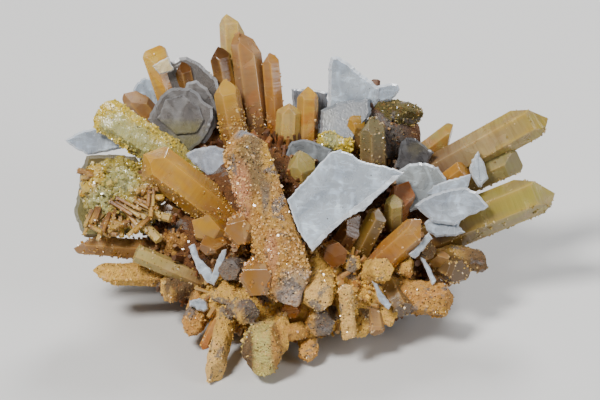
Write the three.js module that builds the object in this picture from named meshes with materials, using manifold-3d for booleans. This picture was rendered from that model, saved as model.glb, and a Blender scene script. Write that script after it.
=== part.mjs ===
// A hand-sized mineral specimen: a cluster of iron-stained quartz crystals grown from one lump of
// matrix, with sharp-edged calcite plates seated between them. Millimetres, +Z up. The specimen
// stands on a broken, flat underside at Z = 0, and the origin is on that face.
import * as THREE from "three";
import { mergeVertices } from "three/addons/utils/BufferGeometryUtils.js";
import Module from "manifold-3d";

// The display position. Crystals and plates are measured as the standing specimen shows them to an
// eye that looks down on it by this angle: across to the right, up the view, and near to the eye.
const viewTilt = THREE.MathUtils.degToRad(30);
const viewHeight = 27; // height of the middle of that view above the table

const seatGap = 0.3; // clearance between a calcite plate and the quartz that it grew on
const faceSlope = THREE.MathUtils.degToRad(51.8); // from the axis to a quartz end face's normal
const cornerShare = 0.54; // a prism's corner radius as a share of its stated width
const endOn = 0.97; // cosine past which a crystal points straight at the eye
const bevelShare = 0.42; // depth of a calcite plate's bevel, as a share of its thickness

// How far each of the six end faces stands past the tip, as a share of the width. A face that
// stands back (negative) dominates, one far past the tip only clips a corner, and one at none is missing.
const none = 9;
const crowns = {
  even: [0, 0.14, 0, 0.14, 0, 0.14],
  chisel: [-0.32, 0.2, 0.05, 0.26, 0.05, 0.2],
  ridge: [-0.06, 0.3, 0.26, -0.06, 0.3, 0.26],
  point: [0, none, 0, none, 0, none],
  blunt: [0.38, none, 0.38, none, 0.38, none],
  broken: [none, none, none, none, none, none],
};

const display = new THREE.Matrix4().makeBasis(
  new THREE.Vector3(1, 0, 0),
  new THREE.Vector3(0, Math.sin(viewTilt), Math.cos(viewTilt)),
  new THREE.Vector3(0, -Math.cos(viewTilt), Math.sin(viewTilt)),
);
display.setPosition(0, 0, viewHeight);
const towardEye = new THREE.Vector3(0, -Math.cos(viewTilt), Math.sin(viewTilt));

const wasm = await Module();
wasm.setup();

function seen([across, up, near]) {
  return new THREE.Vector3(across, up, near).applyMatrix4(display);
}

function solidFrom(geometry) {
  geometry.deleteAttribute("normal");
  geometry.deleteAttribute("uv");
  const merged = mergeVertices(geometry, 1e-4);
  return new wasm.Manifold(
    new wasm.Mesh({
      numProp: 3,
      vertProperties: merged.attributes.position.array,
      triVerts: new Uint32Array(merged.index.array),
    }),
  );
}

// A repeatable scatter value from 0 to 1 for item i.
function scatter(i, salt) {
  const wave = Math.sin(i * 12.9898 + salt * 78.233) * 43758.5453;
  return wave - Math.floor(wave);
}

// The turn that lays a crystal's axis from root to tip, with one prism face towards the eye.
function axisFrame(root, tip, roll) {
  const along = tip.clone().sub(root).normalize();
  const guide = Math.abs(along.dot(towardEye)) > endOn ? new THREE.Vector3(0, 0, 1) : towardEye;
  const face = guide.clone().addScaledVector(along, -guide.dot(along)).normalize();
  const side = along.clone().cross(face);
  const turn = new THREE.Matrix4().makeBasis(face, side, along).setPosition(root);
  return turn.multiply(new THREE.Matrix4().makeRotationZ(THREE.MathUtils.degToRad(roll)));
}

// One quartz crystal: a slightly tapered six-sided prism, cut by six sloping end faces.
function quartzCrystal(spec, grow) {
  const { tip, root, width, roll = 0, flat = 1, taper = 0.1, crown = "even", both = false } = spec;
  const length = tip.distanceTo(root) + grow;
  const corner = width * cornerShare + grow;
  const prism = new THREE.CylinderGeometry(corner * (1 - taper), corner, length, 6)
    .rotateX(Math.PI / 2)
    .translate(0, 0, length / 2);
  let solid = solidFrom(prism);
  for (let k = 0; k < 6; k++) {
    const azimuth = (k * Math.PI) / 3;
    const out = [Math.sin(faceSlope) * Math.cos(azimuth), Math.sin(faceSlope) * Math.sin(azimuth)];
    const rise = Math.cos(faceSlope);
    const lift = crowns[crown][k] * width + grow;
    solid = solid.trimByPlane([-out[0], -out[1], -rise], -rise * (length + lift));
    if (both) solid = solid.trimByPlane([-out[0], -out[1], rise], rise * -(lift - grow));
  }
  const turn = axisFrame(root, tip, roll).multiply(new THREE.Matrix4().makeScale(flat, 1, 1));
  return solid.transform(turn.elements);
}

// One calcite plate: an outline in the view's own plane, bevelled all round to a sharp rim, then
// sheared so that it leans, as a cleavage rhomb leans.
function calcitePlate({ outline, near, lean = [0, 0], thick, rim = 0.5 }, grow) {
  const shape = new THREE.Shape(outline.map(([across, up]) => new THREE.Vector2(across, up)));
  const bevel = thick * bevelShare;
  const plate = new THREE.ExtrudeGeometry(shape, {
    depth: thick - 2 * bevel + 2 * grow,
    bevelEnabled: true,
    bevelThickness: bevel,
    bevelSize: rim,
    bevelOffset: grow - rim,
    bevelSegments: 1,
  }).translate(0, 0, near - thick / 2 + bevel - grow);
  const middle = outline.reduce((sum, [a, u]) => [sum[0] + a, sum[1] + u], [0, 0]);
  const [midAcross, midUp] = middle.map((total) => total / outline.length);
  const shear = new THREE.Matrix4().set(
    1, 0, 0, 0,
    0, 1, 0, 0,
    lean[0], lean[1], 1, -lean[0] * midAcross - lean[1] * midUp,
    0, 0, 0, 1,
  );
  return solidFrom(plate.applyMatrix4(shear).applyMatrix4(display));
}

// Quartz in the view's own measures: name, tip, root, width, and what is special about it.
const quartz = [
  // The towers at the top.
  ["back_tower", [-17.4, 47.4, -12], [-15.4, 12, -13], 6.4, { crown: "chisel", roll: 120 }],
  ["main_tower", [-14.2, 43, -6], [-9.5, 6, -9], 7.6, { crown: "chisel", roll: 60 }],
  ["smoky_stub", [-20.6, 38.6, -9], [-16.5, 20, -10], 5.8, { roll: 20 }],
  ["right_tower", [-7.6, 37, -5], [-5, 8, -8], 5, { crown: "even", roll: 30 }],
  ["front_tower", [-19, 30.3, 0], [-15, 9, -4], 6.8, { roll: 10 }],
  ["twin_tall", [2, 28.5, -1], [1.5, 6, -5], 5.5, { roll: 10 }],
  ["twin_short", [-2.6, 25, 0], [-3.6, 5, -4], 6.4, { crown: "chisel", roll: 180 }],
  // Upper left.
  ["window_crystal", [-37.2, 38.6, -5.6], [-28.4, 14, -9], 7.4, { flat: 0.7, crown: "ridge", roll: 30 }],
  ["window_neighbour", [-29.6, 34.8, -4.4], [-26, 19, -9], 4.8, { roll: 15 }],
  ["tan_stub", [-43.6, 27.6, -5], [-30, 12, -12], 6.2, { crown: "chisel", roll: 60 }],
  // The long pair on the left, and the small rods by it.
  ["yellow_left", [-50.8, 22.8, 7], [-24, 5, 0], 8.4, { flat: 0.75, crown: "ridge", roll: 0, taper: 0 }],
  ["orange_left", [-39.8, 12, 10], [-12, -9, 4], 9.6, { crown: "chisel", roll: 180, taper: 0.02 }],
  ["rod_left", [-35, -10, 10], [-44, -1, 5], 2.5, { crown: "broken" }],
  ["rod_shelf", [-32.2, -4.6, 10], [-42, -2.2, 6], 2.2, { crown: "broken" }],
  ["brown_hidden_left", [-36, -2, 4], [-22, -8, -2], 6, { roll: 12 }],
  ["long_left", [-57, -11, 3], [-22, -13.5, 0], 6.8, { flat: 0.8, crown: "chisel", roll: 90 }],
  ["peach_left", [-52.4, -18.6, 7], [-24, -18.5, 2], 7.2, { flat: 0.8, crown: "chisel", roll: 250 }],
  ["pale_left", [-40.8, -13.2, 11], [-19, -22.5, 7], 4.8, { crown: "broken", roll: 10 }],
  // The middle: a giant lying across the front, ended at both ends, and the stubs around it.
  ["giant", [-0.6, -26.6, 28], [-15.4, 17.6, 10], 11.4, { both: true, roll: 24, taper: -0.06 }],
  ["ember", [-20.6, 4.4, 6], [-12, -8, 3], 6, { roll: 40 }],
  ["stub_upper", [-15.2, -7.8, 24], [-12, -6, 6], 7.8, { crown: "blunt", roll: 20 }],
  ["stub_lower", [-10.8, -19.8, 30], [-8, -16, 10], 9, { crown: "blunt", roll: 5 }],
  ["amber_block", [-26.6, -5.2, 14], [-15, -12, 5], 7, { crown: "chisel", roll: 0 }],
  ["amber_lump", [-24, -10, 16], [-17, -13, 6], 6.4, { crown: "chisel", roll: 60 }],
  ["grey_druse", [-17.6, -17.4, 21], [-13, -16, 8], 6, { crown: "broken", roll: 15 }],
  // Right of the giant.
  ["green_point", [0, 12.4, 9.4], [1, -2, 2], 8, { roll: 30 }],
  ["shade_brown", [9.5, -6.4, 12], [2, -14, 6], 6.4, { crown: "chisel", roll: 60 }],
  ["tan_block", [8.8, -13.6, 21], [5, -12, 4], 6.6, { crown: "broken", roll: 10 }],
  ["pink_crust", [15, -4, 16.4], [7.5, -16, 9], 5.8, { crown: "chisel", roll: 20 }],
  ["dark_olive", [20.4, -1.6, 16.6], [12, -18, 10], 5.8, { crown: "chisel", roll: 150 }],
  ["olive_point", [23.4, 1.4, 13.4], [23, -11, 5], 5, { roll: 20 }],
  ["dark_orange", [27, 4.6, 11.6], [22, -7, 5], 6.2, { crown: "chisel", roll: 0 }],
  ["big_peach", [31.4, -5.2, 18.6], [14, -21, 9], 7.4, { crown: "chisel", roll: 120 }],
  ["grey_olive", [18, 21, 3.6], [18.5, 2, -2], 7.4, { flat: 0.8, roll: 30 }],
  ["dark_druse", [31.2, 20.4, -1], [16, 23, -8], 7.6, { flat: 0.8, crown: "chisel", roll: 60 }],
  ["small_orange", [14.6, 21.4, 1.4], [12, 10, -3], 4.8, { crown: "ridge", roll: 30 }],
  ["green_lump", [7.4, 17.4, 4.4], [6, 8, -4], 5.2, { crown: "ridge", roll: 15 }],
  ["green_lump_small", [11.8, 16.4, 5], [9, 7, -3], 4.4, { crown: "chisel", roll: 200 }],
  ["yellow_stub", [39.4, 18.4, -6], [26, 8, -9], 5.4, { crown: "chisel", roll: 90 }],
  ["big_right_upper", [62, 22.2, -2], [22, 0, -7], 9, { crown: "chisel", roll: 240, taper: 0.03 }],
  ["olive_right", [55.6, 10.6, -4], [30, 0, -6], 7.6, { roll: 30, crown: "ridge" }],
  ["brown_facet", [41, 7.6, 2.4], [30, -1, -3], 5.6, { crown: "broken", roll: 15 }],
  ["big_right_lower", [63.8, 3.6, 4], [24, -12.6, 0], 10.2, { crown: "chisel", roll: 240, taper: 0.03 }],
  // The crusted skirt on the right.
  ["orange_block", [36.8, -25.2, 15], [17, -22.5, 8], 8.2, { crown: "blunt", roll: 12, taper: 0 }],
  ["grey_tile", [39.8, -18, 13], [32, -14, 0], 7, { crown: "blunt", roll: 8 }],
  ["right_lump", [47, -15.8, 7], [30, -12, -1], 6.6, { crown: "ridge", roll: 40, flat: 0.8 }],
  ["orange_chip", [36.6, -15.4, 13.4], [29, -13, 4], 4.6, { crown: "chisel", roll: 60 }],
  ["crust_chip", [28.4, -17.4, 16.6], [22, -15, 5], 5.2, { crown: "chisel", roll: 200 }],
  ["grey_chip", [32, -13, 15], [25, -11, 4], 4.8, { crown: "broken", roll: 5 }],
  // The crusted skirt along the front, pointing at the eye and down to the table.
  ["spur_left", [-27.6, -33.8, 15.6], [-23, -22, 6], 6.4, { roll: 0 }],
  ["left_lump", [-33.4, -22.4, 9], [-20, -19, 2], 7, { crown: "broken", roll: 20 }],
  ["slab_front", [-21.8, -45.6, 26.6], [-16, -20, 12], 7, { flat: 0.62, crown: "chisel", roll: -60 }],
  ["slab_chip", [-24.2, -37.2, 17.6], [-17, -22, 9], 2.6, { crown: "even" }],
  ["oval_front", [-9.4, -38.2, 29], [-8.2, -32, 8], 10.6, { crown: "blunt", roll: 15, flat: 1.2 }],
  ["column_front", [-4.6, -37, 24.6], [-4.6, -22, 14], 3.8, { crown: "broken", roll: 20 }],
  ["ochre_ridge", [-12.6, -28.4, 24], [-20, -22, 12], 6.2, { crown: "broken", roll: 10 }],
  ["ochre_knob", [-20, -25.4, 21], [-15, -19, 9], 6.4, { crown: "ridge", roll: 20 }],
  ["spur_middle", [2, -40.2, 20.4], [2.4, -26, 8], 5.6, { roll: 20, flat: 0.8 }],
  ["bar_front", [-4.4, -33.2, 21.4], [6, -31, 14], 4.8, { crown: "broken", roll: 30 }],
  ["speckled_disc", [4.4, -24, 28], [4.6, -18, 9], 8.6, { crown: "blunt", roll: 30 }],
  ["speckled_foot", [5, -31, 22.6], [5, -22, 8], 7.6, { crown: "broken", roll: 12 }],
  ["finger", [11.2, -21.3, 26.6], [12.2, -34, 21.6], 3.8, { both: true, crown: "blunt", roll: 15 }],
  ["finger_back", [12, -27, 22.6], [9, -20, 6], 6, { crown: "broken", roll: 15 }],
  ["leaf_one", [15.2, -33.6, 20], [13.6, -18, 10], 4.8, { flat: 0.7, crown: "blunt", roll: 20 }],
  ["leaf_two", [18.8, -32.8, 19], [16, -17, 9], 5, { flat: 0.7, crown: "blunt", roll: -20 }],
  ["leaf_three", [22.4, -31.4, 17.4], [18, -16, 8], 5.6, { flat: 0.8, crown: "chisel", roll: 10 }],
  ["leaf_four", [25.4, -27.4, 16], [19, -15, 7], 6.2, { crown: "broken", roll: 5 }],
  ["ochre_wedge", [20.6, -17.2, 20.4], [14, -19, 8], 6.6, { crown: "broken", roll: 20 }],
  ["druse_cube", [-2.4, -27.4, 21], [0, -21, 10], 5, { crown: "broken", roll: 15 }],
  // The far side, which the display position hides.
  ["far_spire", [-4, 23, -38], [-3, 8, -14], 7.6, { crown: "point", roll: 10 }],
  ["far_spire_left", [-24, 22, -38], [-12, 4, -14], 8.6, { crown: "point", roll: 60 }],
  ["far_spire_right", [16, 24, -34], [8, 6, -14], 7, { crown: "point", roll: 25 }],
  ["far_long_right", [36, 11, -34], [14, 0, -12], 8.8, { crown: "point", roll: 0 }],
  ["far_long_left", [-42, 9, -28], [-16, -2, -8], 8, { crown: "point", roll: 40 }],
  ["far_low_left", [-40, -4, -22], [-16, -9, -6], 6.8, { crown: "point", roll: 180 }],
  ["far_low_right", [42, -2, -22], [18, -8, -6], 7.2, { crown: "point", roll: 15 }],
  ["far_middle", [-12, 6, -43], [-6, -4, -18], 8.4, { crown: "point", roll: 120 }],
  ["far_middle_right", [9, 8, -43], [6, -4, -18], 7.4, { crown: "point", roll: 30 }],
  ["far_lean", [22, -1, -38], [10, -6, -14], 6.4, { crown: "point", roll: 45 }],
  ["far_lean_left", [-26, 2, -38], [-12, -4, -14], 6.6, { crown: "point", roll: 5 }],
  ["far_crown", [3, 26, -30], [0, 12, -12], 5.6, { crown: "point", roll: 200 }],
  ["far_crown_left", [-26, 33, -24], [-14, 10, -12], 6.2, { roll: 35 }],
  ["far_crown_right", [24, 18, -26], [12, 6, -10], 6.4, { crown: "point", roll: 30 }],
];

// Slender crystals fanning out of the druse over the left plate: tip and root.
const needles = [
  [[-34.6, 7.4, 8.4], [-43.6, 4.6, 6], 1.5],
  [[-34.2, 5, 9], [-43.6, 3.2, 6], 1.7],
  [[-35.2, 2.8, 9.8], [-44, 2, 6], 1.6],
  [[-34, 0.6, 10.2], [-43.4, 1, 6], 1.8],
  [[-35.6, -2, 10.6], [-43.6, 0.2, 6], 1.7],
  [[-38.2, -4.6, 10.6], [-44, 0, 6], 1.9],
  [[-40.6, -8.2, 9.6], [-44, -1, 6], 1.7],
  [[-44.4, -9.2, 9], [-45, -1.6, 6], 1.6],
  [[-48, -9, 8.6], [-46, -1.6, 6], 1.8],
  [[-52.4, -6.8, 8.2], [-47, -1.4, 5.6], 1.7],
  [[-55.4, 7.4, 6.6], [-47, 5, 5], 1.8],
  [[-55, 1.6, 7], [-47, 2.4, 5.4], 1.6],
];

// The lump of matrix under the crystals: ellipsoids in the specimen's frame, centre and half sizes.
const matrixLumps = [
  [[1, 1, 11], [36, 25, 19]],
  [[-7, 6, 25], [24, 18, 15]],
  [[22, 6, 20], [19, 15, 13]],
  [[-22, -4, 15], [17, 14, 12]],
  [[0, -14, 13], [24, 14, 13]],
  [[-44, -3.5, 29], [9.4, 5, 9]],
  [[-25, 15, 28], [12, 11, 13]],
  [[19, 17, 34], [11.5, 9.5, 12]],
];
const lumpDetail = 1;
const lumpRoughness = 0.07; // depth of the matrix's lumps and pits, as a share of its half size
const lumpWaves = [9, 11, 8]; // how closely they follow each other along X, Y and Z

// Small crystals that fill the matrix between the big ones, on a golden spiral round its middle.
const filler = {
  count: 26,
  centre: [0, 1, 14],
  half: [34, 24, 19],
  width: [2.6, 4.8],
  reach: [2.5, 7.5], // how far a tip stands out of the matrix
  rootShare: 0.72, // depth of a root, as a share of the way out from the middle
  top: 0.96, // height of the first one on a ball of radius 1, and the drop to the last
  drop: 1.42,
  lean: 0.9,
};

// Calcite in the view's own measures. Each node is one plate, or plates grown through each other.
const calcite = {
  calcite_central_blade: [
    {
      outline: [
        [-3.2, 0], [7.5, 11.8], [10, 12.5], [13, 11.2], [14.5, 10], [18, 9], [22.5, 8], [25.8, 6.8],
        [23.8, 5], [19.5, 1.2], [15.8, -2.5], [13.8, -3], [11.2, -4.8], [7.5, -8], [3, -12.8], [-0.4, -7.6],
      ],
      near: 18, lean: [-0.12, -0.42], thick: 1.9, rim: 0.7,
    },
  ],
  calcite_shadow_blade: [
    {
      outline: [[-4.8, 9.8], [-2.2, 14.5], [0.8, 15.2], [3.8, 14.4], [8, 12.6], [6.4, 8.4], [0, 6.6]],
      near: 4.4, lean: [0, -0.2], thick: 1.6,
    },
  ],
  calcite_tall_blade: [
    {
      outline: [
        [7.2, 34.2], [8, 35.8], [9.5, 36], [11.2, 35], [13, 33.5], [15.5, 31.5], [17.6, 30],
        [19.8, 28], [19.8, 24.6], [17, 20], [11.2, 16.8], [6.6, 17.5], [7, 26],
      ],
      near: -3, lean: [0.1, 0.25], thick: 2.6, rim: 0.8,
    },
    {
      outline: [[5.2, 22.4], [10, 24.6], [17.5, 25.4], [17.8, 21.5], [13.4, 15], [6, 14.6], [4.8, 17]],
      near: -0.6, lean: [0.12, -0.3], thick: 2.4, rim: 0.7,
    },
    {
      outline: [
        [17.5, 28.2], [22.4, 29.2], [24.4, 29], [25.1, 27.5], [24, 26.1], [22.8, 24.8], [18.4, 24.4],
      ],
      near: -3.6, thick: 2.2, rim: 0.6,
    },
  ],
  calcite_far_plate: [
    {
      outline: [[-2, 27.8], [2.5, 28], [6.8, 27], [7, 21], [1, 16], [-2, 17]],
      near: -6.4, thick: 1.5,
    },
  ],
  calcite_round_plates: [
    {
      outline: [
        [-33.8, 33.6], [-31, 35.4], [-28.5, 35.8], [-25, 34.2], [-20.8, 30.2], [-19.4, 25], [-20.6, 17.5],
        [-24, 12.6], [-30, 13], [-34, 22.5],
      ],
      near: -7, lean: [0, 0.15], thick: 2.8, rim: 1,
    },
    {
      outline: [
        [-28.5, 29.5], [-26, 30], [-23.2, 28], [-20.8, 23.8], [-21, 18.8], [-23.8, 13.4], [-29, 14],
      ],
      near: -3.8, thick: 4.2, rim: 0.8,
    },
    {
      outline: [
        [-38, 20.2], [-36.5, 23.5], [-34.5, 26.4], [-32.5, 27.8], [-30, 28.2], [-27.5, 28], [-25.5, 26.8],
        [-23.8, 24.4], [-21.8, 23.2], [-21.8, 20.5], [-23, 17.2], [-25, 14.2], [-28, 12], [-32, 13.6],
        [-35.5, 17],
      ],
      near: -0.6, lean: [0.05, -0.05], thick: 3, rim: 0.9,
    },
    {
      outline: [
        [-35.6, 20.4], [-33.6, 25], [-29.5, 26.4], [-25.2, 23.2], [-24, 20], [-26, 16.8], [-31, 16.4],
      ],
      near: 0.7, lean: [0.05, -0.05], thick: 2.4, rim: 0.35,
    },
  ],
  calcite_blue_plate: [
    {
      outline: [[-42, 27.5], [-40.8, 29.5], [-39.2, 30.8], [-35, 30.6], [-31, 26], [-31, 20], [-36, 19.6]],
      near: -8.6, lean: [0.1, 0], thick: 1.8,
    },
  ],
  calcite_spear: [
    {
      outline: [
        [-58.5, 14.8], [-56.2, 16.5], [-53.8, 17.5], [-50.5, 18], [-45, 18.4], [-40, 16], [-42, 13.6],
        [-47, 12.3], [-50, 11.7], [-53, 11.3], [-55, 12.2], [-57, 13.5],
      ],
      near: 2.4, lean: [0, 0.1], thick: 2.6, rim: 1,
    },
  ],
  calcite_left_plate: [
    {
      outline: [
        [-53.2, 11], [-54.5, 8], [-55, 4.5], [-56.5, -3.2], [-54, -9.2], [-47.5, -9.8], [-41.2, -7],
        [-37, -1.2], [-37, 6.2], [-41.2, 10.8], [-47.5, 11.4],
      ],
      near: 3, lean: [0.06, 0], thick: 3, rim: 0.9,
    },
  ],
  calcite_low_plate: [
    {
      outline: [[-29, 11.2], [-26.2, 12.8], [-21.8, 13.6], [-18, 12.4], [-17.5, 7], [-22.8, 6]],
      near: 3.4, lean: [0, -0.25], thick: 1.8,
    },
  ],
  calcite_upper_grey_plate: [
    {
      outline: [
        [25.2, 14.2], [26.4, 15.8], [28.5, 15.4], [30.5, 14.2], [33.5, 11.8], [31.5, 8.6], [27, 6],
        [24, 8],
      ],
      near: -1, lean: [0, -0.1], thick: 1.9,
    },
  ],
  calcite_side_plate: [
    {
      outline: [
        [23.6, 6.6], [27, 9], [31.2, 9.3], [34.5, 8.2], [36.5, 4.8], [35.8, 2.5], [33.5, 0.5],
        [31.2, -1.6], [27.5, -3], [24.5, 1.2],
      ],
      near: 7.6, lean: [0, -0.1], thick: 1.9, rim: 0.6,
    },
  ],
  calcite_right_blades: [
    {
      outline: [
        [28.4, -1.4], [32, 1], [36.2, 2.5], [41.2, 3.2], [43.8, 2], [46.9, -1.6], [45, -2.8], [42, -3.8],
        [38.4, -6.4], [33, -5.6],
      ],
      near: 9.8, lean: [0.03, -0.12], thick: 2, rim: 0.6,
    },
    {
      outline: [[31, 1.4], [33, 3.6], [38, 5.2], [42.6, 6.6], [41.6, 2.4], [36, 0.4]],
      near: 8.3, lean: [0.05, 0.1], thick: 2.2, rim: 0.4,
    },
    {
      outline: [
        [31, -5.8], [34, -3.2], [40.6, -3], [39.6, -6.4], [41, -8], [38.8, -9], [33.8, -9.2], [31.6, -7.6],
      ],
      near: 8.5, lean: [0, -0.3], thick: 2.4, rim: 0.5,
    },
  ],
  calcite_arrowhead: [
    {
      outline: [[44.5, 12.2], [46, 9], [46.9, 5.5], [45, 2.9], [43.2, 5.2], [42.2, 7.5], [43, 10]],
      near: 2.1, lean: [0.1, -0.15], thick: 2.2, rim: 0.5,
    },
  ],
  calcite_v_blades: [
    {
      outline: [
        [-27.6, -11.4], [-26.2, -10.8], [-25, -14.2], [-22.4, -16.8], [-20.8, -20], [-21.4, -21.2],
        [-23, -20.4], [-25.6, -17],
      ],
      near: 17.2, lean: [0, -0.2], thick: 1.8, rim: 0.35,
    },
    {
      outline: [
        [-19.4, -12.4], [-18.2, -12.1], [-18.6, -14.6], [-20.2, -19.4], [-21.3, -21.3], [-22.6, -20],
      ],
      near: 17.6, lean: [0, -0.2], thick: 1.8, rim: 0.25,
    },
  ],
  calcite_white_chip: [
    {
      outline: [
        [-27.6, -25], [-25, -24.4], [-23.2, -24.8], [-22.4, -27], [-23.8, -27.9], [-25.5, -27.3],
        [-27.2, -26.2],
      ],
      near: 14.4, lean: [0, -0.2], thick: 2.6, rim: 0.4,
    },
  ],
  calcite_small_blade: [
    {
      outline: [[31.8, -8], [32.8, -9.4], [30, -13], [28.5, -14.6], [27, -13.5], [29.5, -10.6]],
      near: 17, lean: [0, 0], thick: 1.9, rim: 0.4,
    },
  ],
  calcite_needle: [
    {
      outline: [[29.8, -14.2], [31.2, -14.8], [33.8, -20], [32.8, -21.2]],
      near: 15.4, lean: [0, 0], thick: 2, rim: 0.25,
    },
  ],
  calcite_front_sliver: [
    {
      outline: [[17.8, -19.8], [19, -20.8], [21, -24], [22.7, -25.8], [21.8, -27.1], [19.6, -25]],
      near: 20.4, lean: [0, -0.1], thick: 2.2, rim: 0.25,
    },
  ],
  calcite_window_rhomb: [
    {
      outline: [[-36.9, 33.6], [-34, 35.4], [-32.9, 35.9], [-31.6, 32.5], [-35.2, 31.4]],
      near: -2.3, lean: [0, 0], thick: 1.9, rim: 0.3,
    },
  ],
  calcite_far_blade: [
    {
      outline: [[-2, 20], [4, 26], [13, 24], [17, 14], [12, 6], [2, 8]],
      near: -30, lean: [0.3, 0.35], thick: 3, rim: 0.9,
    },
  ],
  calcite_far_rhomb: [
    {
      outline: [[-32, 8], [-25, 18], [-15, 17], [-14, 6], [-22, -2], [-30, 0]],
      near: -30, lean: [-0.3, 0.3], thick: 3.2, rim: 1,
    },
  ],
  calcite_far_low_plate: [
    {
      outline: [[16, 0], [23, 7], [32, 5], [33, -6], [26, -10], [17, -8]],
      near: -30, lean: [0.5, 0], thick: 2.8, rim: 0.9,
    },
  ],
};

function rowCrystal([, tip, root, width, special]) {
  return { tip: seen(tip), root: seen(root), width, ...special };
}

function needleCrystal([tip, root, width]) {
  return { tip: seen(tip), root: seen(root), width, crown: "broken", taper: 0.2 };
}

// Item i of the filler crystals, spread evenly over an ellipsoid and leaning a little off its normal.
function fillerCrystal(i) {
  const goldenAngle = Math.PI * (3 - Math.sqrt(5));
  const height = filler.top - (filler.drop * (i + 0.5)) / filler.count;
  const ring = Math.sqrt(1 - height * height);
  const around = i * goldenAngle;
  const direction = new THREE.Vector3(ring * Math.cos(around), ring * Math.sin(around), height);
  const centre = new THREE.Vector3(...filler.centre);
  const surface = direction.clone().multiply(new THREE.Vector3(...filler.half));
  const lean = new THREE.Vector3(scatter(i, 1) - 0.5, scatter(i, 2) - 0.5, scatter(i, 3) - 0.5);
  const outward = direction.clone().add(lean.multiplyScalar(filler.lean)).normalize();
  const reach = THREE.MathUtils.lerp(...filler.reach, scatter(i, 4));
  return {
    tip: centre.clone().add(surface).addScaledVector(outward, reach),
    root: centre.clone().addScaledVector(surface, filler.rootShare),
    width: THREE.MathUtils.lerp(...filler.width, scatter(i, 5)),
    roll: 60 * scatter(i, 6),
    crown: scatter(i, 7) > 0.5 ? "point" : "broken",
  };
}

// An ellipsoid with a lumpy, pitted surface.
function matrixLump([centre, half], grow) {
  const ball = new THREE.IcosahedronGeometry(1, lumpDetail);
  ball.deleteAttribute("normal");
  ball.deleteAttribute("uv");
  const lump = mergeVertices(ball, 1e-4);
  const place = lump.attributes.position;
  const point = new THREE.Vector3();
  for (let i = 0; i < place.count; i++) {
    point.fromBufferAttribute(place, i);
    const waves = lumpWaves.map((rate, axis) => Math.sin(point.getComponent(axis) * rate + centre[axis]));
    point.multiplyScalar(1 + (lumpRoughness * (waves[0] + waves[1] + waves[2])) / 3);
    point.multiply(new THREE.Vector3(...half).addScalar(grow)).add(new THREE.Vector3(...centre));
    place.setXYZ(i, point.x, point.y, point.z);
  }
  return solidFrom(lump);
}

// All the quartz and its matrix as one solid, cut off flat at the table, or the same grown outwards.
function quartzCluster(grow) {
  const crystals = [...quartz.map(rowCrystal), ...needles.map(needleCrystal)];
  for (let i = 0; i < filler.count; i++) crystals.push(fillerCrystal(i));
  const solids = crystals.map((crystal) => quartzCrystal(crystal, grow));
  solids.push(...matrixLumps.map((lump) => matrixLump(lump, grow)));
  return wasm.Manifold.union(solids).trimByPlane([0, 0, 1], -grow);
}

// The largest piece of a solid: a plate keeps the part that stands clear of the quartz.
function largest(solid) {
  return solid.decompose().sort((a, b) => b.volume() - a.volume())[0];
}

function meshFrom(name, solid, material) {
  const { numProp, vertProperties, triVerts } = solid.getMesh();
  const geometry = new THREE.BufferGeometry();
  const place = new THREE.BufferAttribute(new Float32Array(vertProperties), numProp);
  geometry.setAttribute("position", place);
  geometry.setIndex(new THREE.BufferAttribute(new Uint32Array(triVerts), 1));
  geometry.computeVertexNormals();
  const mesh = new THREE.Mesh(geometry, material);
  mesh.name = name;
  return mesh;
}

const quartzMaterial = new THREE.MeshStandardMaterial({ color: 0xc99a5b, roughness: 0.45, metalness: 0 });
const calciteMaterial = new THREE.MeshStandardMaterial({ color: 0xc9ced6, roughness: 0.3, metalness: 0 });

const specimen = new THREE.Group();
const cluster = largest(quartzCluster(0));
specimen.add(meshFrom("quartz_cluster", cluster, quartzMaterial));

// Each plate is seated against the quartz and the plates before it.
let seat = quartzCluster(seatGap);
for (const [name, plates] of Object.entries(calcite)) {
  const whole = wasm.Manifold.union(plates.map((plate) => calcitePlate(plate, 0)));
  specimen.add(meshFrom(name, largest(whole.subtract(seat)), calciteMaterial));
  seat = seat.add(wasm.Manifold.union(plates.map((plate) => calcitePlate(plate, seatGap))));
}

export default specimen;
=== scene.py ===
import math
import bpy
import numpy as np
from mathutils import Matrix, Vector, noise


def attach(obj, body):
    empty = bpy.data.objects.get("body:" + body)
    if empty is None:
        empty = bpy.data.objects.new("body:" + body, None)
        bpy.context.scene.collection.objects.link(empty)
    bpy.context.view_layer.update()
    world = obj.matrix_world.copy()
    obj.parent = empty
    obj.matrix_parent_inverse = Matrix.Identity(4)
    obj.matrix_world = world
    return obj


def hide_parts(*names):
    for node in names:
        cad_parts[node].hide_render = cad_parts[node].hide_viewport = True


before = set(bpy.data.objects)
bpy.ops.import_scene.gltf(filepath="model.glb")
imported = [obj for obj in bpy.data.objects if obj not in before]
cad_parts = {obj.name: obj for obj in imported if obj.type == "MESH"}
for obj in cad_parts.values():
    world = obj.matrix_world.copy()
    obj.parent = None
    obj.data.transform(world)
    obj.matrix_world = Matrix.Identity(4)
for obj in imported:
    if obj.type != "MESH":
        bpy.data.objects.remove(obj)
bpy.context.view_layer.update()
print("frame loaded:", len(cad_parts), "nodes")

# Places are in millimetres as the standing specimen shows them to an eye that looks down on it:
# across to the right, up the view, near to the eye.
view = {"tilt": math.radians(30), "height": 27, "distance": 2.0, "lens": 480, "sensor": 36}
tiltSin, tiltCos = math.sin(view["tilt"]), math.cos(view["tilt"])
display = np.array([[1, 0, 0], [0, tiltSin, -tiltCos], [0, tiltCos, tiltSin]])
towardEye = Vector((0, -tiltCos, tiltSin))
lift = np.array((0, 0, view["height"]))
mm = 0.001
tiny = 1e-9
rng = np.random.default_rng(7)


def seen(place):
    return Vector(display @ np.array(place, float)) + Vector(lift)


def toView(points):
    return (points - lift) @ display


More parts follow.
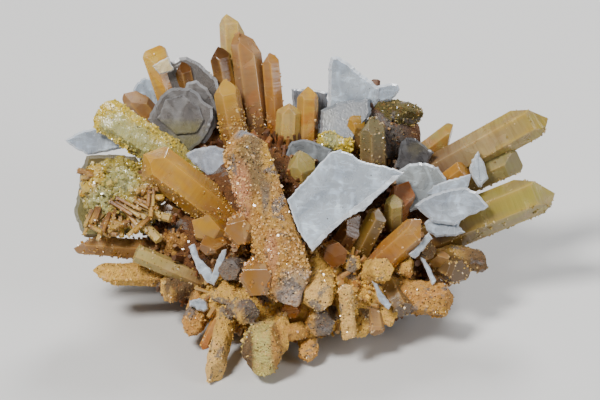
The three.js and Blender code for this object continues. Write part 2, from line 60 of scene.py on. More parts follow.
# Linear colours of the stained quartz, its crust and its druse.
tones = {
    "straw": (0.68, 0.48, 0.11), "gold": (0.64, 0.39, 0.04), "honey": (0.62, 0.36, 0.055),
    "honeyPink": (0.32, 0.135, 0.028), "peach": (0.48, 0.23, 0.03), "amber": (0.57, 0.31, 0.035),
    "tan": (0.36, 0.17, 0.032), "rust": (0.52, 0.17, 0.016), "ember": (0.38, 0.11, 0.009),
    "brown": (0.18, 0.075, 0.012), "smoky": (0.12, 0.046, 0.007), "olive": (0.17, 0.095, 0.014),
    "greenGold": (0.50, 0.40, 0.11), "oliveGold": (0.44, 0.34, 0.065), "greyOlive": (0.17, 0.15, 0.055),
    "lemon": (0.64, 0.46, 0.03), "sand": (0.50, 0.25, 0.055), "ochre": (0.82, 0.48, 0.092),
    "grey": (0.17, 0.14, 0.12), "greyBrown": (0.15, 0.09, 0.04), "darkDruse": (0.10, 0.085, 0.02),
    "deep": (0.13, 0.045, 0.01), "lilac": (0.35, 0.26, 0.19), "pink": (0.56, 0.25, 0.12),
    "blueGrey": (0.27, 0.28, 0.30), "yellowGreen": (0.35, 0.26, 0.03), "mossGold": (0.43, 0.36, 0.075),
    "milky": (0.44, 0.42, 0.16), "oliveGreen": (0.33, 0.285, 0.10), "limeGold": (0.62, 0.54, 0.17),
    "apricot": (0.92, 0.57, 0.18), "moss": (0.22, 0.14, 0.055), "frosted": (0.46, 0.36, 0.29),
    "copper": (0.42, 0.20, 0.04), "salmon": (0.66, 0.31, 0.07), "umber": (0.22, 0.07, 0.004),
    "shade": (0.10, 0.085, 0.075),
}

# Crystals: name, tip, root, width, colour at the tip, colour at the root, and what is its own.
rowKeys = ("name", "tip", "root", "width", "tone", "foot", "look")
towerRows = [
    ("back_tower", (-17.4, 47.4, -12), (-15.4, 12, -13), 6.4, "straw", "peach",
     {"crown": "chisel", "roll": 120, "root": 0.25, "stain": 0.25}),
    ("main_tower", (-14.2, 43, -6), (-9.5, 6, -9), 7.6, "copper", "brown",
     {"crown": "chisel", "roll": 60, "root": 0.5, "edge": 0.5, "stain": 0.25, "middle": "lilac",
      "middleAt": 0.68, "dark": 0.34}),
    ("smoky_stub", (-20.6, 38.6, -9), (-16.5, 20, -10), 5.8, "smoky", "peach",
     {"roll": 20, "root": 0.45, "edge": 0.2}),
    ("right_tower", (-7.6, 37, -5), (-5, 8, -8), 5, "peach", "ember",
     {"crown": "even", "roll": 30, "root": 0.4, "edge": 0.6, "stain": 0.2, "middle": "tan", "dark": 0.35}),
    ("front_tower", (-19, 30.3, 0), (-15, 9, -4), 6.8, "honey", "peach",
     {"roll": 10, "root": 0.62, "edge": 0.15, "middle": "honeyPink"}),
    ("twin_tall", (2, 28.5, -1), (1.5, 6, -5), 5.5, "honey", "peach",
     {"roll": 10, "root": 0.3, "stain": 0.4}),
    ("twin_short", (-2.6, 25, 0), (-3.6, 5, -4), 6.4, "straw", "peach",
     {"crown": "chisel", "roll": 180, "root": 0.35, "edge": 0.15, "stain": 0.2}),
]
leftRows = [
    ("window_crystal", (-37.2, 38.6, -5.6), (-28.4, 14, -9), 7.4, "gold", "rust",
     {"flat": 0.7, "crown": "ridge", "roll": 30, "root": 0.3, "stain": 0.3}),
    ("window_neighbour", (-29.6, 34.8, -4.4), (-26, 19, -9), 4.8, "smoky", "peach",
     {"roll": 15, "root": 0.3, "edge": 0.3}),
    ("tan_stub", (-43.6, 27.6, -5), (-30, 12, -12), 6.2, "tan", "rust",
     {"crown": "chisel", "roll": 60, "root": 0.4, "edge": 0.3, "frost": 0.9}),
    ("orange_left", (-39.8, 12, 10), (-12, -9, 4), 9.6, "amber", "peach",
     {"crown": "chisel", "roll": 180, "taper": 0.02, "root": 0.45, "low": 0.9, "edge": 0.3,
      "stain": 0.2, "bevel": 0.5}),
    ("rod_left", (-35, -10, 10), (-44, -1, 5), 2.5, "straw", "olive",
     {"crown": "broken", "dust": 0.3, "frost": 0.9}),
    ("rod_shelf", (-32.2, -4.6, 10), (-42, -2.2, 6), 2.2, "straw", "olive",
     {"crown": "broken", "dust": 0.3, "frost": 0.9}),
    ("brown_hidden_left", (-36, -2, 4), (-22, -8, -2), 6, "tan", "brown", {"roll": 12, "dust": 0.1}),
    ("long_left", (-57, -11, 3), (-22, -13.5, 0), 6.8, "tan", "peach",
     {"flat": 0.8, "crown": "chisel", "roll": 90, "low": 0.9, "root": 0.55, "dust": 0.25, "frost": 0.6}),
    ("pale_left", (-40.8, -13.2, 11), (-19, -22.5, 7), 4.8, "greenGold", "tan",
     {"crown": "broken", "roll": 10, "edge": 0.3, "dust": 0.3, "frost": 0.6}),
]
centreRows = [
    ("ember", (-20.6, 4.4, 6), (-12, -8, 3), 6, "ember", "ember", {"roll": 40, "low": 0.2}),
    ("stub_upper", (-15.2, -7.8, 24), (-12, -6, 6), 7.8, "tan", "rust",
     {"crown": "blunt", "roll": 20, "edge": 1, "root": 0.9, "grain": 1.5, "bevel": 0.4}),
    ("stub_lower", (-10.8, -19.8, 30), (-8, -16, 10), 9, "tan", "rust",
     {"crown": "blunt", "roll": 5, "edge": 0.6, "root": 0.92, "grain": 1.3, "bevel": 0.35}),
    ("amber_block", (-26.6, -5.2, 14), (-15, -12, 5), 7, "amber", "ember",
     {"crown": "chisel", "roll": 0, "edge": 0.5, "low": 0.3}),
    ("amber_lump", (-24, -10, 16), (-17, -13, 6), 6.4, "tan", "ember",
     {"crown": "chisel", "roll": 60, "edge": 0.4, "low": 0.5, "dust": 0.1}),
    ("green_point", (0, 12.4, 9.4), (1, -2, 2), 8, "greenGold", "ember",
     {"roll": 30, "root": 0.62, "edge": 0.4}),
    ("shade_brown", (9.5, -6.4, 12), (2, -14, 6), 6.4, "brown", "ember",
     {"crown": "chisel", "roll": 60, "dust": 0.1, "edge": 0.3}),
    ("tan_block", (8.8, -13.6, 21), (5, -12, 4), 6.6, "umber", "ember",
     {"crown": "broken", "roll": 10, "edge": 0.3, "low": 0.2}),
    ("pink_crust", (15, -4, 16.4), (7.5, -16, 9), 5.8, "brown", "ember",
     {"crown": "chisel", "roll": 20, "low": 0.8, "dust": 0.15}),
    ("dark_olive", (20.4, -1.6, 16.6), (12, -18, 10), 5.8, "olive", "olive",
     {"crown": "chisel", "roll": 150, "low": 1, "edge": 0.5}),
    ("olive_point", (23.4, 1.4, 13.4), (23, -11, 5), 5, "greenGold", "brown", {"roll": 20, "edge": 0.3}),
    ("dark_orange", (27, 4.6, 11.6), (22, -7, 5), 6.2, "ember", "ember",
     {"crown": "chisel", "roll": 0, "edge": 0.4}),
    ("big_peach", (31.4, -5.2, 18.6), (14, -21, 9), 7.4, "peach", "rust",
     {"crown": "chisel", "roll": 120, "edge": 0.4, "low": 0.7, "dust": 0.05}),
    ("grey_olive", (18, 21, 3.6), (18.5, 2, -2), 7.4, "greyOlive", "brown",
     {"flat": 0.8, "roll": 30, "dust": 0.25, "edge": 0.6, "frost": 0.8, "line": 0.1}),
    ("small_orange", (14.6, 21.4, 1.4), (12, 10, -3), 4.8, "amber", "peach",
     {"crown": "ridge", "roll": 30, "edge": 0.6, "root": 0.5}),
    ("yellow_stub", (39.4, 18.4, -6), (26, 8, -9), 5.4, "mossGold", "brown",
     {"crown": "chisel", "roll": 90, "stain": 0.3}),
]
rightRows = [
    ("big_right_upper", (62, 22.2, -2), (22, 0, -7), 9, "oliveGold", "brown",
     {"crown": "chisel", "roll": 240, "taper": 0.03, "low": 0.25, "root": 0.3, "line": 1, "edge": 0.7,
      "middle": "lilac"}),
    ("olive_right", (55.6, 10.6, -4), (30, 0, -6), 7.6, "oliveGreen", "brown",
     {"roll": 30, "crown": "ridge", "edge": 0.5, "low": 0.5}),
    ("brown_facet", (41, 7.6, 2.4), (30, -1, -3), 5.6, "peach", "rust",
     {"crown": "broken", "roll": 15, "edge": 0.7}),
    ("big_right_lower", (63.8, 3.6, 4), (24, -12.6, 0), 10.2, "mossGold", "brown",
     {"crown": "chisel", "roll": 240, "taper": 0.03, "low": 0.4, "edge": 0.7, "root": 0.15, "stain": 0.1}),
]
giantRows = [
    ("giant", (-0.6, -26.6, 28), (-15.4, 17.6, 10), 11.4, "sand", "sand",
     {"both": True, "roll": 24, "crown": "even", "taper": -0.06}),
]
lemonRows = [
    ("yellow_left", (-50.8, 22.8, 7), (-24, 5, 0), 8.4, "lemon", "greenGold",
     {"flat": 0.75, "crown": "ridge", "roll": 0, "taper": 0}),
    ("green_lump", (7.4, 17.4, 4.4), (6, 8, -4), 5.2, "lemon", "greenGold", {"crown": "ridge", "roll": 15}),
    ("green_lump_small", (11.8, 16.4, 5), (9, 7, -3), 4.4, "lemon", "greenGold",
     {"crown": "chisel", "roll": 200}),
]
skirtRows = [
    ("peach_left", (-52.4, -18.6, 7), (-24, -18.5, 2), 7.2, "ochre", "sand",
     {"flat": 0.8, "crown": "chisel", "roll": 250}),
    ("grey_druse", (-17.6, -17.4, 21), (-13, -16, 8), 6, "grey", "brown", {"crown": "broken", "roll": 15}),
    ("dark_druse", (31.2, 20.4, -1), (16, 23, -8), 7.6, "darkDruse", "darkDruse",
     {"flat": 0.8, "crown": "chisel", "roll": 60}),
    ("orange_block", (36.8, -25.2, 15), (17, -22.5, 8), 8.2, "peach", "ochre",
     {"crown": "blunt", "roll": 12, "taper": 0}),
    ("right_lump", (47, -15.8, 7), (30, -12, -1), 6.6, "greyBrown", "ochre",
     {"crown": "ridge", "roll": 40, "flat": 0.8}),
    ("crust_chip", (28.4, -17.4, 16.6), (22, -15, 5), 5.2, "ochre", "brown",
     {"crown": "chisel", "roll": 200}),
    ("grey_chip", (32, -13, 15), (25, -11, 4), 4.8, "greyBrown", "ochre", {"crown": "broken", "roll": 5}),
    ("spur_left", (-27.6, -33.8, 15.6), (-23, -22, 6), 6.4, "ochre", "ochre", {"roll": 0}),
    ("left_lump", (-33.4, -22.4, 9), (-20, -19, 2), 7, "ochre", "brown", {"crown": "broken", "roll": 20}),
    ("slab_front", (-21.8, -45.6, 26.6), (-16, -20, 12), 7, "ochre", "ochre",
     {"flat": 0.62, "crown": "chisel", "roll": -60}),
    ("oval_front", (-9.4, -38.2, 29), (-8.2, -32, 8), 10.6, "limeGold", "ochre",
     {"crown": "blunt", "roll": 15, "flat": 1.2}),
    ("column_front", (-4.6, -37, 24.6), (-4.6, -22, 14), 3.8, "ochre", "ochre",
     {"crown": "broken", "roll": 20}),
    ("ochre_ridge", (-12.6, -28.4, 24), (-20, -22, 12), 6.2, "ochre", "ochre",
     {"crown": "broken", "roll": 10}),
    ("ochre_knob", (-20, -25.4, 21), (-15, -19, 9), 6.4, "ochre", "brown", {"crown": "ridge", "roll": 20}),
    ("spur_middle", (2, -40.2, 20.4), (2.4, -26, 8), 5.6, "ochre", "peach", {"roll": 20, "flat": 0.8}),
    ("bar_front", (-4.4, -33.2, 21.4), (6, -31, 14), 4.8, "peach", "ochre",
     {"crown": "broken", "roll": 30}),
    ("speckled_disc", (4.4, -24, 28), (4.6, -18, 9), 8.6, "ochre", "ochre", {"crown": "blunt", "roll": 30}),
    ("speckled_foot", (5, -31, 22.6), (5, -22, 8), 7.6, "ochre", "grey", {"crown": "broken", "roll": 12}),
    ("finger", (11.2, -21.3, 26.6), (12.2, -34, 21.6), 3.8, "apricot", "apricot",
     {"both": True, "crown": "blunt", "roll": 15}),
    ("finger_back", (12, -27, 22.6), (9, -20, 6), 6, "ochre", "brown", {"crown": "broken", "roll": 15}),
    ("leaf_one", (15.2, -33.6, 20), (13.6, -18, 10), 4.8, "ochre", "ochre",
     {"flat": 0.7, "crown": "blunt", "roll": 20}),
    ("leaf_three", (22.4, -31.4, 17.4), (18, -16, 8), 5.6, "ochre", "grey",
     {"flat": 0.8, "crown": "chisel", "roll": 10}),
    ("ochre_wedge", (20.6, -17.2, 20.4), (14, -19, 8), 6.6, "ochre", "ochre",
     {"crown": "broken", "roll": 20}),
]
frontRows = [
    ("grey_tile", (39.8, -18, 13), (32, -14, 0), 7, "greyBrown", "ochre",
     {"crown": "blunt", "roll": 8, "edge": 0.8, "dust": 0.1}),
    ("orange_chip", (36.6, -15.4, 13.4), (29, -13, 4), 4.6, "peach", "ochre",
     {"crown": "chisel", "roll": 60, "edge": 0.5, "dust": 0.1, "frost": 0.6}),
    ("slab_chip", (-24.2, -37.2, 17.6), (-17, -22, 9), 2.6, "rust", "ochre", {"frost": 0.8, "dust": 0.1}),
    ("leaf_two", (18.8, -32.8, 19), (16, -17, 9), 5, "sand", "grey",
     {"flat": 0.7, "crown": "blunt", "roll": -20, "dust": 0.3, "edge": 0.6, "frost": 0.8}),
    ("leaf_four", (25.4, -27.4, 16), (19, -15, 7), 6.2, "greyBrown", "ochre",
     {"crown": "broken", "roll": 5, "dust": 0.25, "edge": 0.8}),
    ("druse_cube", (-2.4, -27.4, 21), (0, -21, 10), 5, "rust", "brown",
     {"crown": "broken", "roll": 15, "dust": 0.2, "edge": 0.5}),
]
farLook = {"crown": "point", "root": 0.45, "edge": 0.25, "stain": 0.3}
farRows = [(*row[:5], "brown", {**farLook, **row[5]}) for row in (
    ("far_spire", (-4, 23, -38), (-3, 8, -14), 7.6, "honey", {"roll": 10}),
    ("far_spire_left", (-24, 22, -38), (-12, 4, -14), 8.6, "amber", {"roll": 60}),
    ("far_spire_right", (16, 24, -34), (8, 6, -14), 7, "gold", {"roll": 25}),
    ("far_long_right", (36, 11, -34), (14, 0, -12), 8.8, "peach", {"roll": 0}),
    ("far_long_left", (-42, 9, -28), (-16, -2, -8), 8, "straw", {"roll": 40}),
    ("far_low_left", (-40, -4, -22), (-16, -9, -6), 6.8, "oliveGold", {"roll": 180}),
    ("far_low_right", (42, -2, -22), (18, -8, -6), 7.2, "tan", {"roll": 15}),
    ("far_middle", (-12, 6, -43), (-6, -4, -18), 8.4, "honey", {"roll": 120}),
    ("far_middle_right", (9, 8, -43), (6, -4, -18), 7.4, "amber", {"roll": 30}),
    ("far_lean", (22, -1, -38), (10, -6, -14), 6.4, "gold", {"roll": 45}),
    ("far_lean_left", (-26, 2, -38), (-12, -4, -14), 6.6, "peach", {"roll": 5}),
    ("far_crown", (3, 26, -30), (0, 12, -12), 5.6, "straw", {"roll": 200}),
    ("far_crown_left", (-26, 33, -24), (-14, 10, -12), 6.2, "oliveGold", {"crown": "even", "roll": 35}),
    ("far_crown_right", (24, 18, -26), (12, 6, -10), 6.4, "tan", {"roll": 30}),
)]

# How far each of the six end faces stands past the tip, as a share of the width; None is missing.
crowns = {
    "even": (0, 0.14, 0, 0.14, 0, 0.14), "chisel": (-0.32, 0.2, 0.05, 0.26, 0.05, 0.2),
    "ridge": (-0.06, 0.3, 0.26, -0.06, 0.3, 0.26), "point": (0, None, 0, None, 0, None),
    "blunt": (0.38, None, 0.38, None, 0.38, None), "broken": (None,) * 6,
}
# What the crystals share; a row's own look may give its taper, bevel and the rest.
prism = {
    "cornerShare": 0.54, "taper": 0.1, "faceSlope": math.radians(51.8), "edge": 0.016,
    "stepWidth": 5, "steps": 3, "stepSpan": (0.35, 0.85), "stepDepth": 0.007, "stepWear": (0.4, 1.2),
    "stepRun": 0.03, "toneDrift": (0.93, 1.07), "footEnd": 0.2, "footFade": 0.55,
    "middleAt": 0.5, "middleReach": 0.2, "middleShare": 0.6,
    "edgeShine": 0.07, "edgeTone": 0.9, "onFace": 0.988, "patternDrift": 200,
}


def clearSelection():
    bpy.ops.object.select_all(action="DESELECT")


def makeActive(piece):
    clearSelection()
    piece.select_set(True)
    bpy.context.view_layer.objects.active = piece


# Into edit mode with the vertices picked by a test of their place.
def editPicked(piece, wanted):
    for vertex in piece.data.vertices:
        vertex.select = wanted(vertex.co)
    bpy.ops.object.mode_set(mode="EDIT")


def axisFrame(root, tip, roll):
    along = (tip - root).normalized()
    guide = Vector((0, 0, 1)) if abs(along.dot(towardEye)) > 0.97 else towardEye
    face = (guide - along * guide.dot(along)).normalized()
    side = along.cross(face)
    turn = Matrix((face, side, along)).transposed().to_4x4()
    return Matrix.Translation(root) @ turn @ Matrix.Rotation(math.radians(roll), 4, "Z")


def endPlanes(length, width, look):
    planes = []
    slope = prism["faceSlope"]
    for k, past in enumerate(crowns[look.get("crown", "even")]):
        if past is None:
            continue
        azimuth = k * math.pi / 3
        across = math.sin(slope) * math.cos(azimuth), math.sin(slope) * math.sin(azimuth)
        planes.append((Vector((*across, math.cos(slope))), Vector((0, 0, length + past * width))))
        if look.get("both"):
            planes.append((Vector((*across, -math.cos(slope))), Vector((0, 0, -past * width))))
    return planes


def setAttribute(mesh, name, kind, domain, values):
    made = mesh.attributes.new(name, kind, domain)
    field = {"FLOAT_COLOR": "color", "FLOAT_VECTOR": "vector", "FLOAT": "value"}[kind]
    made.data.foreach_set(field, np.asarray(values, np.float32).ravel())


def withAlpha(colours):
    return np.hstack((colours, np.ones((len(colours), 1))))


def readMesh(parts, field, width=1, kind=np.float32):
    values = np.empty(len(parts) * width, kind)
    parts.foreach_get(field, values)
    return values.reshape(-1, width) if width > 1 else values


def meshPoints(mesh):
    return readMesh(mesh.vertices, "co", 3).astype(float)


# Points and faces put in one fixed order, since Blender's own differs from run to run.
def settleOrder(mesh):
    points = meshPoints(mesh)
    order = np.lexsort(np.round(points, 4).T)
    rank = np.argsort(order)
    faces = []
    for polygon in mesh.polygons:
        ring = [int(rank[index]) for index in polygon.vertices]
        first = ring.index(min(ring))
        faces.append(ring[first:] + ring[:first])
    mesh.clear_geometry()
    mesh.from_pydata(points[order], [], sorted(faces))
    mesh.shade_flat()
    mesh.update()


solids = {}  # every crystal as a convex body, for telling what lies buried


def addCrystal(row, bevel=True):
    crystal = dict(zip(rowKeys, row))
    width, look = crystal["width"], crystal["look"]
    tip, root = seen(crystal["tip"]), seen(crystal["root"])
    length = (tip - root).length
    corner, taper = width * prism["cornerShare"], look.get("taper", prism["taper"])
    crystal.update(length=length, corner=corner, taper=taper)
    clearSelection()
    bpy.ops.mesh.primitive_cylinder_add(vertices=6, radius=corner, depth=length, location=(0, 0, length / 2))
    piece = bpy.context.object
    piece.name = crystal["name"]
    bpy.ops.object.transform_apply()
    bpy.ops.object.mode_set(mode="EDIT")
    bpy.ops.mesh.select_all(action="DESELECT")
    bpy.ops.object.mode_set(mode="OBJECT")
    editPicked(piece, lambda place: place.z > length / 2)
    bpy.ops.transform.resize(value=(1 - taper, 1 - taper, 1), center_override=(0, 0, length))
    for normal, centre in endPlanes(length, width, look):
        bpy.ops.mesh.select_all(action="SELECT")
        bpy.ops.mesh.bisect(plane_co=centre, plane_no=normal, use_fill=True, clear_outer=True)
    if bevel:
        edgeWidth = prism["edge"] * width * look.get("bevel", 1)
        bpy.ops.mesh.select_all(action="SELECT")
        bpy.ops.mesh.bevel(offset=edgeWidth, segments=1, affect="EDGES", clamp_overlap=True)
        if width >= prism["stepWidth"]:
            addSteps(width, length)
    bpy.ops.object.mode_set(mode="OBJECT")
    settleOrder(piece.data)
    turn = axisFrame(root, tip, look.get("roll", 0)) @ Matrix.Diagonal((look.get("flat", 1), 1, 1, 1))
    keepSolid(crystal, turn)
    dressCrystal(piece.data, crystal, turn)
    return piece


# Growth steps round the prism: a low ramp up to a slightly narrower ring, and out again.
def addSteps(width, length):
    for heightShare in rng.uniform(*prism["stepSpan"], prism["steps"]):
        narrow = 1 - prism["stepDepth"] * rng.uniform(*prism["stepWear"])
        for run, shrink in ((0, 1.0), (prism["stepRun"] * width, narrow)):
            height = heightShare * length + run
            bpy.ops.mesh.select_all(action="SELECT")
            bpy.ops.mesh.bisect(plane_co=(0, 0, height), plane_no=(0, 0, 1), use_fill=False)
            bpy.ops.transform.resize(value=(shrink, shrink, 1), center_override=(0, 0, height))


# The crystal's flat sides as planes in the specimen's frame.
def keepSolid(crystal, turn):
    length, flatReach = crystal["length"], crystal["corner"] * math.cos(math.pi / 6)
    planes = [(Vector((0, 0, 1)), Vector((0, 0, length))), (Vector((0, 0, -1)), Vector((0, 0, 0)))]
    lean = crystal["taper"] * flatReach / length
    for k in range(6):
        azimuth = k * math.pi / 3
        across = math.cos(azimuth), math.sin(azimuth)
        planes.append((Vector((*across, lean)).normalized(), Vector((*across, 0)) * flatReach))
    planes += endPlanes(length, crystal["width"], crystal["look"])
    normalTurn = turn.to_3x3().inverted().transposed()
    normals = [(normalTurn @ out).normalized() for out, centre in planes]
    reach = [normal.dot(turn @ centre) for normal, (out, centre) in zip(normals, planes)]
    crystal.update(
        normals=np.array(normals), reach=np.array(reach), radius=length / 2 + crystal["width"],
        middle=np.array(turn @ Vector((0, 0, length / 2))), root=np.array(turn @ Vector((0, 0, 0))),
        axis=np.array(turn.to_3x3() @ Vector((0, 0, 1))),
        tone=np.array(tones[crystal["tone"]]), foot=np.array(tones[crystal["foot"]]))
    solids[crystal["name"]] = crystal


# Colour from root to tip, darker towards the foot (partly the root's own stain, partly painted shade), pale
# edges (partly wear, partly painted highlight), and the crystal's own place for its pattern.
def dressCrystal(mesh, crystal, turn):
    look, foot = crystal["look"], crystal["foot"]
    points = meshPoints(mesh)
    share = np.clip(points[:, 2] / crystal["length"], 0, 1)
    tone = crystal["tone"] * rng.uniform(*prism["toneDrift"])
    # Towards the foot the colour goes to the foot colour: partly the root's own rust and brown, partly
    # painted shade deep among the crystals.
    blend = np.clip((share - look.get("dark", prism["footEnd"])) / prism["footFade"], 0, 1)[:, None]
    colours = foot + (tone - foot) * blend
    if "middle" in look:
        away = (share - look.get("middleAt", prism["middleAt"])) / prism["middleReach"]
        nearness = np.exp(-away ** 2)[:, None] * prism["middleShare"]
        colours += (np.array(tones[look["middle"]]) - colours) * nearness
    cornerColours = colours[readMesh(mesh.loops, "vertex_index", kind=np.int32)]
    strips = edgeStrips(mesh, crystal, turn)
    sizes = readMesh(mesh.polygons, "loop_total", kind=np.int32)
    # Bevel strips lightened: partly wear, partly painted highlight.
    edge = np.repeat(strips, sizes) * prism["edgeShine"]
    cornerColours += (prism["edgeTone"] - cornerColours) * edge[:, None]
    setAttribute(mesh, "tone", "FLOAT_COLOR", "CORNER", withAlpha(cornerColours))
    drift = prism["patternDrift"]
    setAttribute(mesh, "local", "FLOAT_VECTOR", "POINT", points + rng.uniform(-drift, drift, 3))
    across = points[:, :2] / (crystal["corner"] * (1 - crystal["taper"] * share))[:, None]
    setAttribute(mesh, "within", "FLOAT_VECTOR", "POINT", np.column_stack((across, share)))
    finish = (look.get("stain", 0.1), look.get("frost", 0.15), look.get("line", 0.4))
    setAttribute(mesh, "look", "FLOAT_VECTOR", "POINT", np.tile(finish, (len(points), 1)))
    mesh.transform(turn)


# The narrow bevels along a crystal's edges: faces that lie on none of its flat sides.
def edgeStrips(mesh, crystal, turn):
    facing = readMesh(mesh.polygons, "normal", 3) @ np.array(turn.to_3x3().inverted())
    facing /= np.linalg.norm(facing, axis=1)[:, None] + tiny
    return (facing @ crystal["normals"].T).max(axis=1) < prism["onFace"]


def join(pieces, name):
    clearSelection()
    for piece in pieces:
        piece.select_set(True)
    bpy.context.view_layer.objects.active = pieces[0]
    if len(pieces) > 1:
        bpy.ops.object.join()
    whole = bpy.context.object
    whole.name = name
    whole.data.name = name
    return whole


# One socket of a node, so that shader values can be reckoned with Python's own signs.
class Wire:
    def __init__(self, finish, socket):
        self.finish, self.socket = finish, socket

    def reckon(self, operation, first, second):
        return self.finish.node("ShaderNodeMath", {"operation": operation}, {0: first, 1: second})

    def __add__(self, other):
        return self.reckon("ADD", self, other)

    def __sub__(self, other):
        return self.reckon("SUBTRACT", self, other)

    def __rsub__(self, other):
        return self.reckon("SUBTRACT", other, self)

    def __mul__(self, other):
        return self.reckon("MULTIPLY", self, other)

    def __lt__(self, other):
        return self.reckon("LESS_THAN", self, other)

    __radd__ = __add__
    __rmul__ = __mul__


class Finish:
    def __init__(self, name, constants):
        self.material = bpy.data.materials.new(name)
        self.material.use_nodes = True
        self.tree = self.material.node_tree
        self.shader = self.tree.nodes["Principled BSDF"]
        for socket, value in constants.items():
            self.shader.inputs[socket].default_value = value

    def node(self, kind, settings, sockets, out=0):
        made = self.tree.nodes.new(kind)
        for key, value in settings.items():
            setattr(made, key, value)
        for key, value in sockets.items():
            self.feed(made.inputs[key], value)
        return Wire(self, made.outputs[out])

    def feed(self, socket, value):
        if isinstance(value, Wire):
            self.tree.links.new(value.socket, socket)
        else:
            socket.default_value = value

    def attribute(self, name, out="Vector"):
        return self.node("ShaderNodeAttribute", {"attribute_name": name}, {}, out)

    def objectPlace(self):
        return self.node("ShaderNodeTexCoord", {}, {}, "Object")

    def stretched(self, place, scale):
        return self.node("ShaderNodeVectorMath", {"operation": "MULTIPLY"}, {0: place, 1: scale})

    def cloud(self, place, scale, detail=3, distortion=0):
        sockets = {"Vector": place, "Scale": scale, "Detail": detail, "Distortion": distortion}
        return self.node("ShaderNodeTexNoise", {}, sockets)

    def cells(self, place, scale):
        return self.node("ShaderNodeTexVoronoi", {}, {"Vector": place, "Scale": scale}, "Distance")

    def between(self, value, low, high):
        sockets = {"Value": value, "From Min": low, "From Max": high}
        return self.node("ShaderNodeMapRange", {"interpolation_type": "SMOOTHSTEP"}, sockets)

    def mix(self, factor, first, second, how="MIX"):
        settings = {"data_type": "RGBA", "blend_type": how}
        return self.node("ShaderNodeMix", settings, {0: factor, 6: first, 7: second}, 2)

    def parted(self, vector):
        splitter = self.node("ShaderNodeSeparateXYZ", {}, {0: vector}).socket.node
        return [Wire(self, output) for output in splitter.outputs]

    def bump(self, height, distance, strength, below=None):
        sockets = {"Height": height, "Distance": distance, "Strength": strength}
        if below:
            sockets["Normal"] = below
        return self.node("ShaderNodeBump", {}, sockets)

    def show(self, socket, value):
        self.feed(self.shader.inputs[socket], value)


quartzColours = {
    # The root colour darkens each crystal towards its root: painted shade.
    "pale": (0.74, 0.56, 0.28, 1), "smoke": (0.32, 0.21, 0.15, 1), "root": (0.42, 0.27, 0.2, 1),
    # The last colour on this line lightens the edges near the tip: painted glow of light through them.
    "band": (0.34, 0.19, 0.08, 1), "rust": (0.50, 0.16, 0.03, 1), "tipGlow": (0.74, 0.42, 0.10, 1),
}


def quartzFinish():
    finish = Finish("stained_quartz", {
        "IOR": 1.55, "Subsurface Weight": 0.25, "Subsurface Radius": (1.0, 0.5, 0.2),
        "Subsurface Scale": 0.002, "Transmission Weight": 0.3, "Specular IOR Level": 0.45,
    })
    mix, between, cloud = finish.mix, finish.between, finish.cloud
    place, tone = finish.attribute("local"), finish.attribute("tone", "Color")
    stain, frost, line = finish.parted(finish.attribute("look"))
    across, over, share = finish.parted(finish.attribute("within"))
    edge = between(across * across + over * over, 0.78, 0.98)
    bands = cloud(finish.stretched(place, (0.1, 0.1, 1.6)), 1.0, 4)
    clouds = cloud(place, 0.18, 4, 0.8)
    patches = cloud(place, 0.16, 4, 0.8)
    smoke = cloud(finish.stretched(place, (1, 1, 0.4)), 0.22, 2, 0.5)
    light = between(finish.parted(tone)[0], 0.1, 0.45)
    pale = mix(between(clouds, 0.45, 0.75) * light * 0.3, tone, quartzColours["pale"])
    # The smoky veils are real but are kept off the edges, so that the edges stay light: painted glow of light
    # through the edges.
    smoky = between(smoke, 0.4, 0.65) * (1 - edge) * (light * 0.35 + 0.1)
    smokeWithEdgeGlow = mix(smoky, pale, quartzColours["smoke"])
    # Darker towards the root: painted shade where the roots lie deep among the crystals.
    rootShaded = mix(between(share, 0.62, 0.1) * 0.8, smokeWithEdgeGlow, quartzColours["root"], "MULTIPLY")
    lined = between(bands, 0.4, 0.7) * (line * 0.3 + 0.04)
    shaded = mix(lined, rootShaded, quartzColours["band"], "MULTIPLY")
    rust = between(patches + stain * 0.25, 0.53, 0.76) * between(stain, 0, 0.5)
    stained = mix(rust * 0.75, shaded, quartzColours["rust"])
    # Edges near the tip are mixed towards the tip glow colour: painted glow.
    finish.show("Base Color", mix(edge * share * 0.3, stained, quartzColours["tipGlow"]))
    finish.show("Roughness", frost * 0.5 + 0.1 + between(clouds, 0.4, 0.7) * 0.15)
    grit = cloud(place, 2.4, 3)
    ridges = finish.bump(bands * line, 0.0005, 0.4)
    finish.show("Normal", finish.bump(grit * frost, 0.0003, 0.5, ridges))
    return finish.material


# The wet-looking yellow growths: pale and grey-white in the middle of each lump.
lemonColours = {
    "milky": (0.56, 0.56, 0.31, 1), "yellow": (0.66, 0.45, 0.03, 1), "green": (0.34, 0.29, 0.06, 1),
    "hollowShade": (0.24, 0.17, 0.02, 1), "speck": (0.03, 0.02, 0.01, 1),
}


